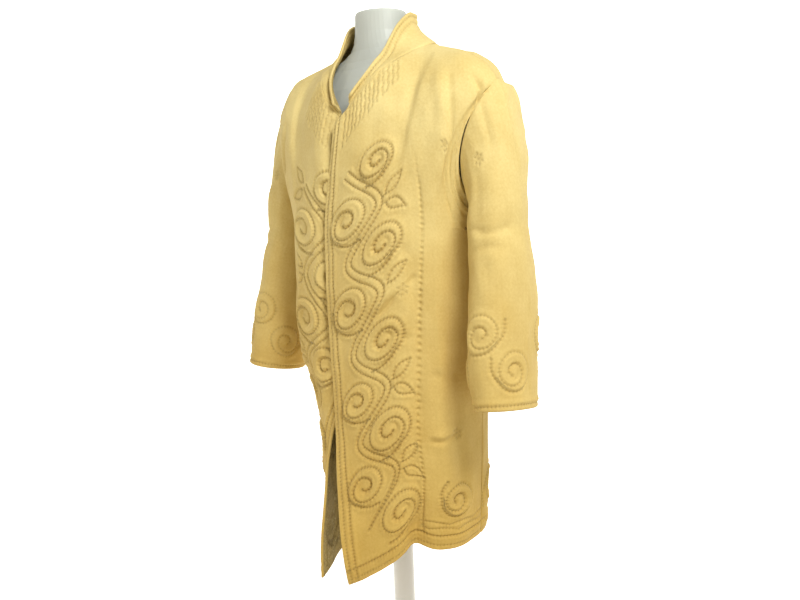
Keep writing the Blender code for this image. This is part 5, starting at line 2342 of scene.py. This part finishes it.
@dataclass(frozen=True)
class RoomFinish(Finish):
    """Paper that glows as painted light: white and bright behind the coat, dimmer and warmer in
    front of it, where its glow also lights the coat.
    """

    near: Row = (0.78, 0.73, 0.64)
    far: Row = (0.97, 0.97, 0.95)
    near_glow: float = 0.12
    far_glow: float = 0.90
    fade: float = 0.5  # metres behind the middle where it is all white
    top: float = 2.9  # height where the white has ended ...
    whole: float = 2.6  # ... and where it starts to

    def make(self) -> bpy.types.Material:
        """Make the glowing paper.

        Returns:
            The material.
        """
        tree = NodeTree(self.name)
        body = tree.add("TexCoord").outputs["Object"]
        side = math.radians(CAMERA_AZIMUTH)
        way = (-math.sin(side), math.cos(side), 0.0)
        ahead = tree.add("VectorMath", {0: body, 1: way}, operation="DOT_PRODUCT")
        back = {"Value": ahead.outputs["Value"], "From Min": 0.0, "From Max": self.fade}
        back = tree.add("MapRange", back)
        height = tree.add("SeparateXYZ", {"Vector": body}).outputs["Z"]
        below = {"Value": height, "From Min": self.top, "From Max": self.whole}
        below = tree.add("MapRange", below)
        back = tree.math("MULTIPLY", back.outputs[0], below.outputs[0])
        colour = tree.mix(back, (*self.near, 1.0), (*self.far, 1.0))
        # Painted light: the paper glows, brightly behind the coat and dimly in front of it
        glow = {"Value": back, "To Min": self.near_glow, "To Max": self.far_glow}
        return tree.finish({
            "Base Color": colour,
            "Emission Color": colour,
            "Emission Strength": tree.add("MapRange", glow).outputs[0],
            "Roughness": 0.9,
            "Specular IOR Level": 0.1,
        })


LAMPS = (
    Lamp("key", (1.36, -0.66, 2.40), 0.6, 34.0, (1.0, 0.99, 0.96)),
    Lamp("fill", (-0.2, -2.7, 1.9), 1.2, 6.5, (1.0, 0.93, 0.82)),
)


def main() -> None:
    """Build the coat, its stand and the studio."""
    logging.basicConfig(level=logging.INFO, format="%(name)s %(message)s")
    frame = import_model()
    shape = CoatShape()
    shape.build()
    wool = WoolFinish("wool_cloth", Slot.WOOL)
    thread_look = PlainFinish("thread", Slot.WOOL, (0.64, 0.480, 0.180), 0.8, shine=0.1)
    lining = LiningFinish("lining_print", Slot.LINING)
    # The same lining print darkened as painted shade, for the inside of the coat
    dim = LiningFinish("lining_print_shaded", Slot.LINING, shade=0.75)
    thread = Thread()
    looks = Looks(wool, dim, thread_look)
    parts = [
        Front(1, shape.fronts[1], LEFT_CREASES).piece(looks),
        Front(-1, shape.fronts[-1], RIGHT_CREASES).piece(looks),
        Back(shape.back).piece(looks),
        Sleeve(1, shape.sleeves[1]).piece(looks),
        Sleeve(-1, shape.sleeves[-1]).piece(looks),
        Collar(shape.collar).piece(Looks(wool, lining, thread_look)),
    ]
    for part in parts:
        part.dress(thread)
    shell = PlainFinish("form_shell", Slot.FORM, (0.55, 0.59, 0.56), 0.42, shine=0.3)
    paint = PlainFinish("stand_paint", Slot.STAND, (0.92, 0.93, 0.93), 0.42, coat=0.2)
    Stand(shell, paint).dress(frame["nodes"])
    Studio(LAMPS).build()
    log.info("%d pieces", len(Piece.made))


if __name__ == "__main__":
    main()
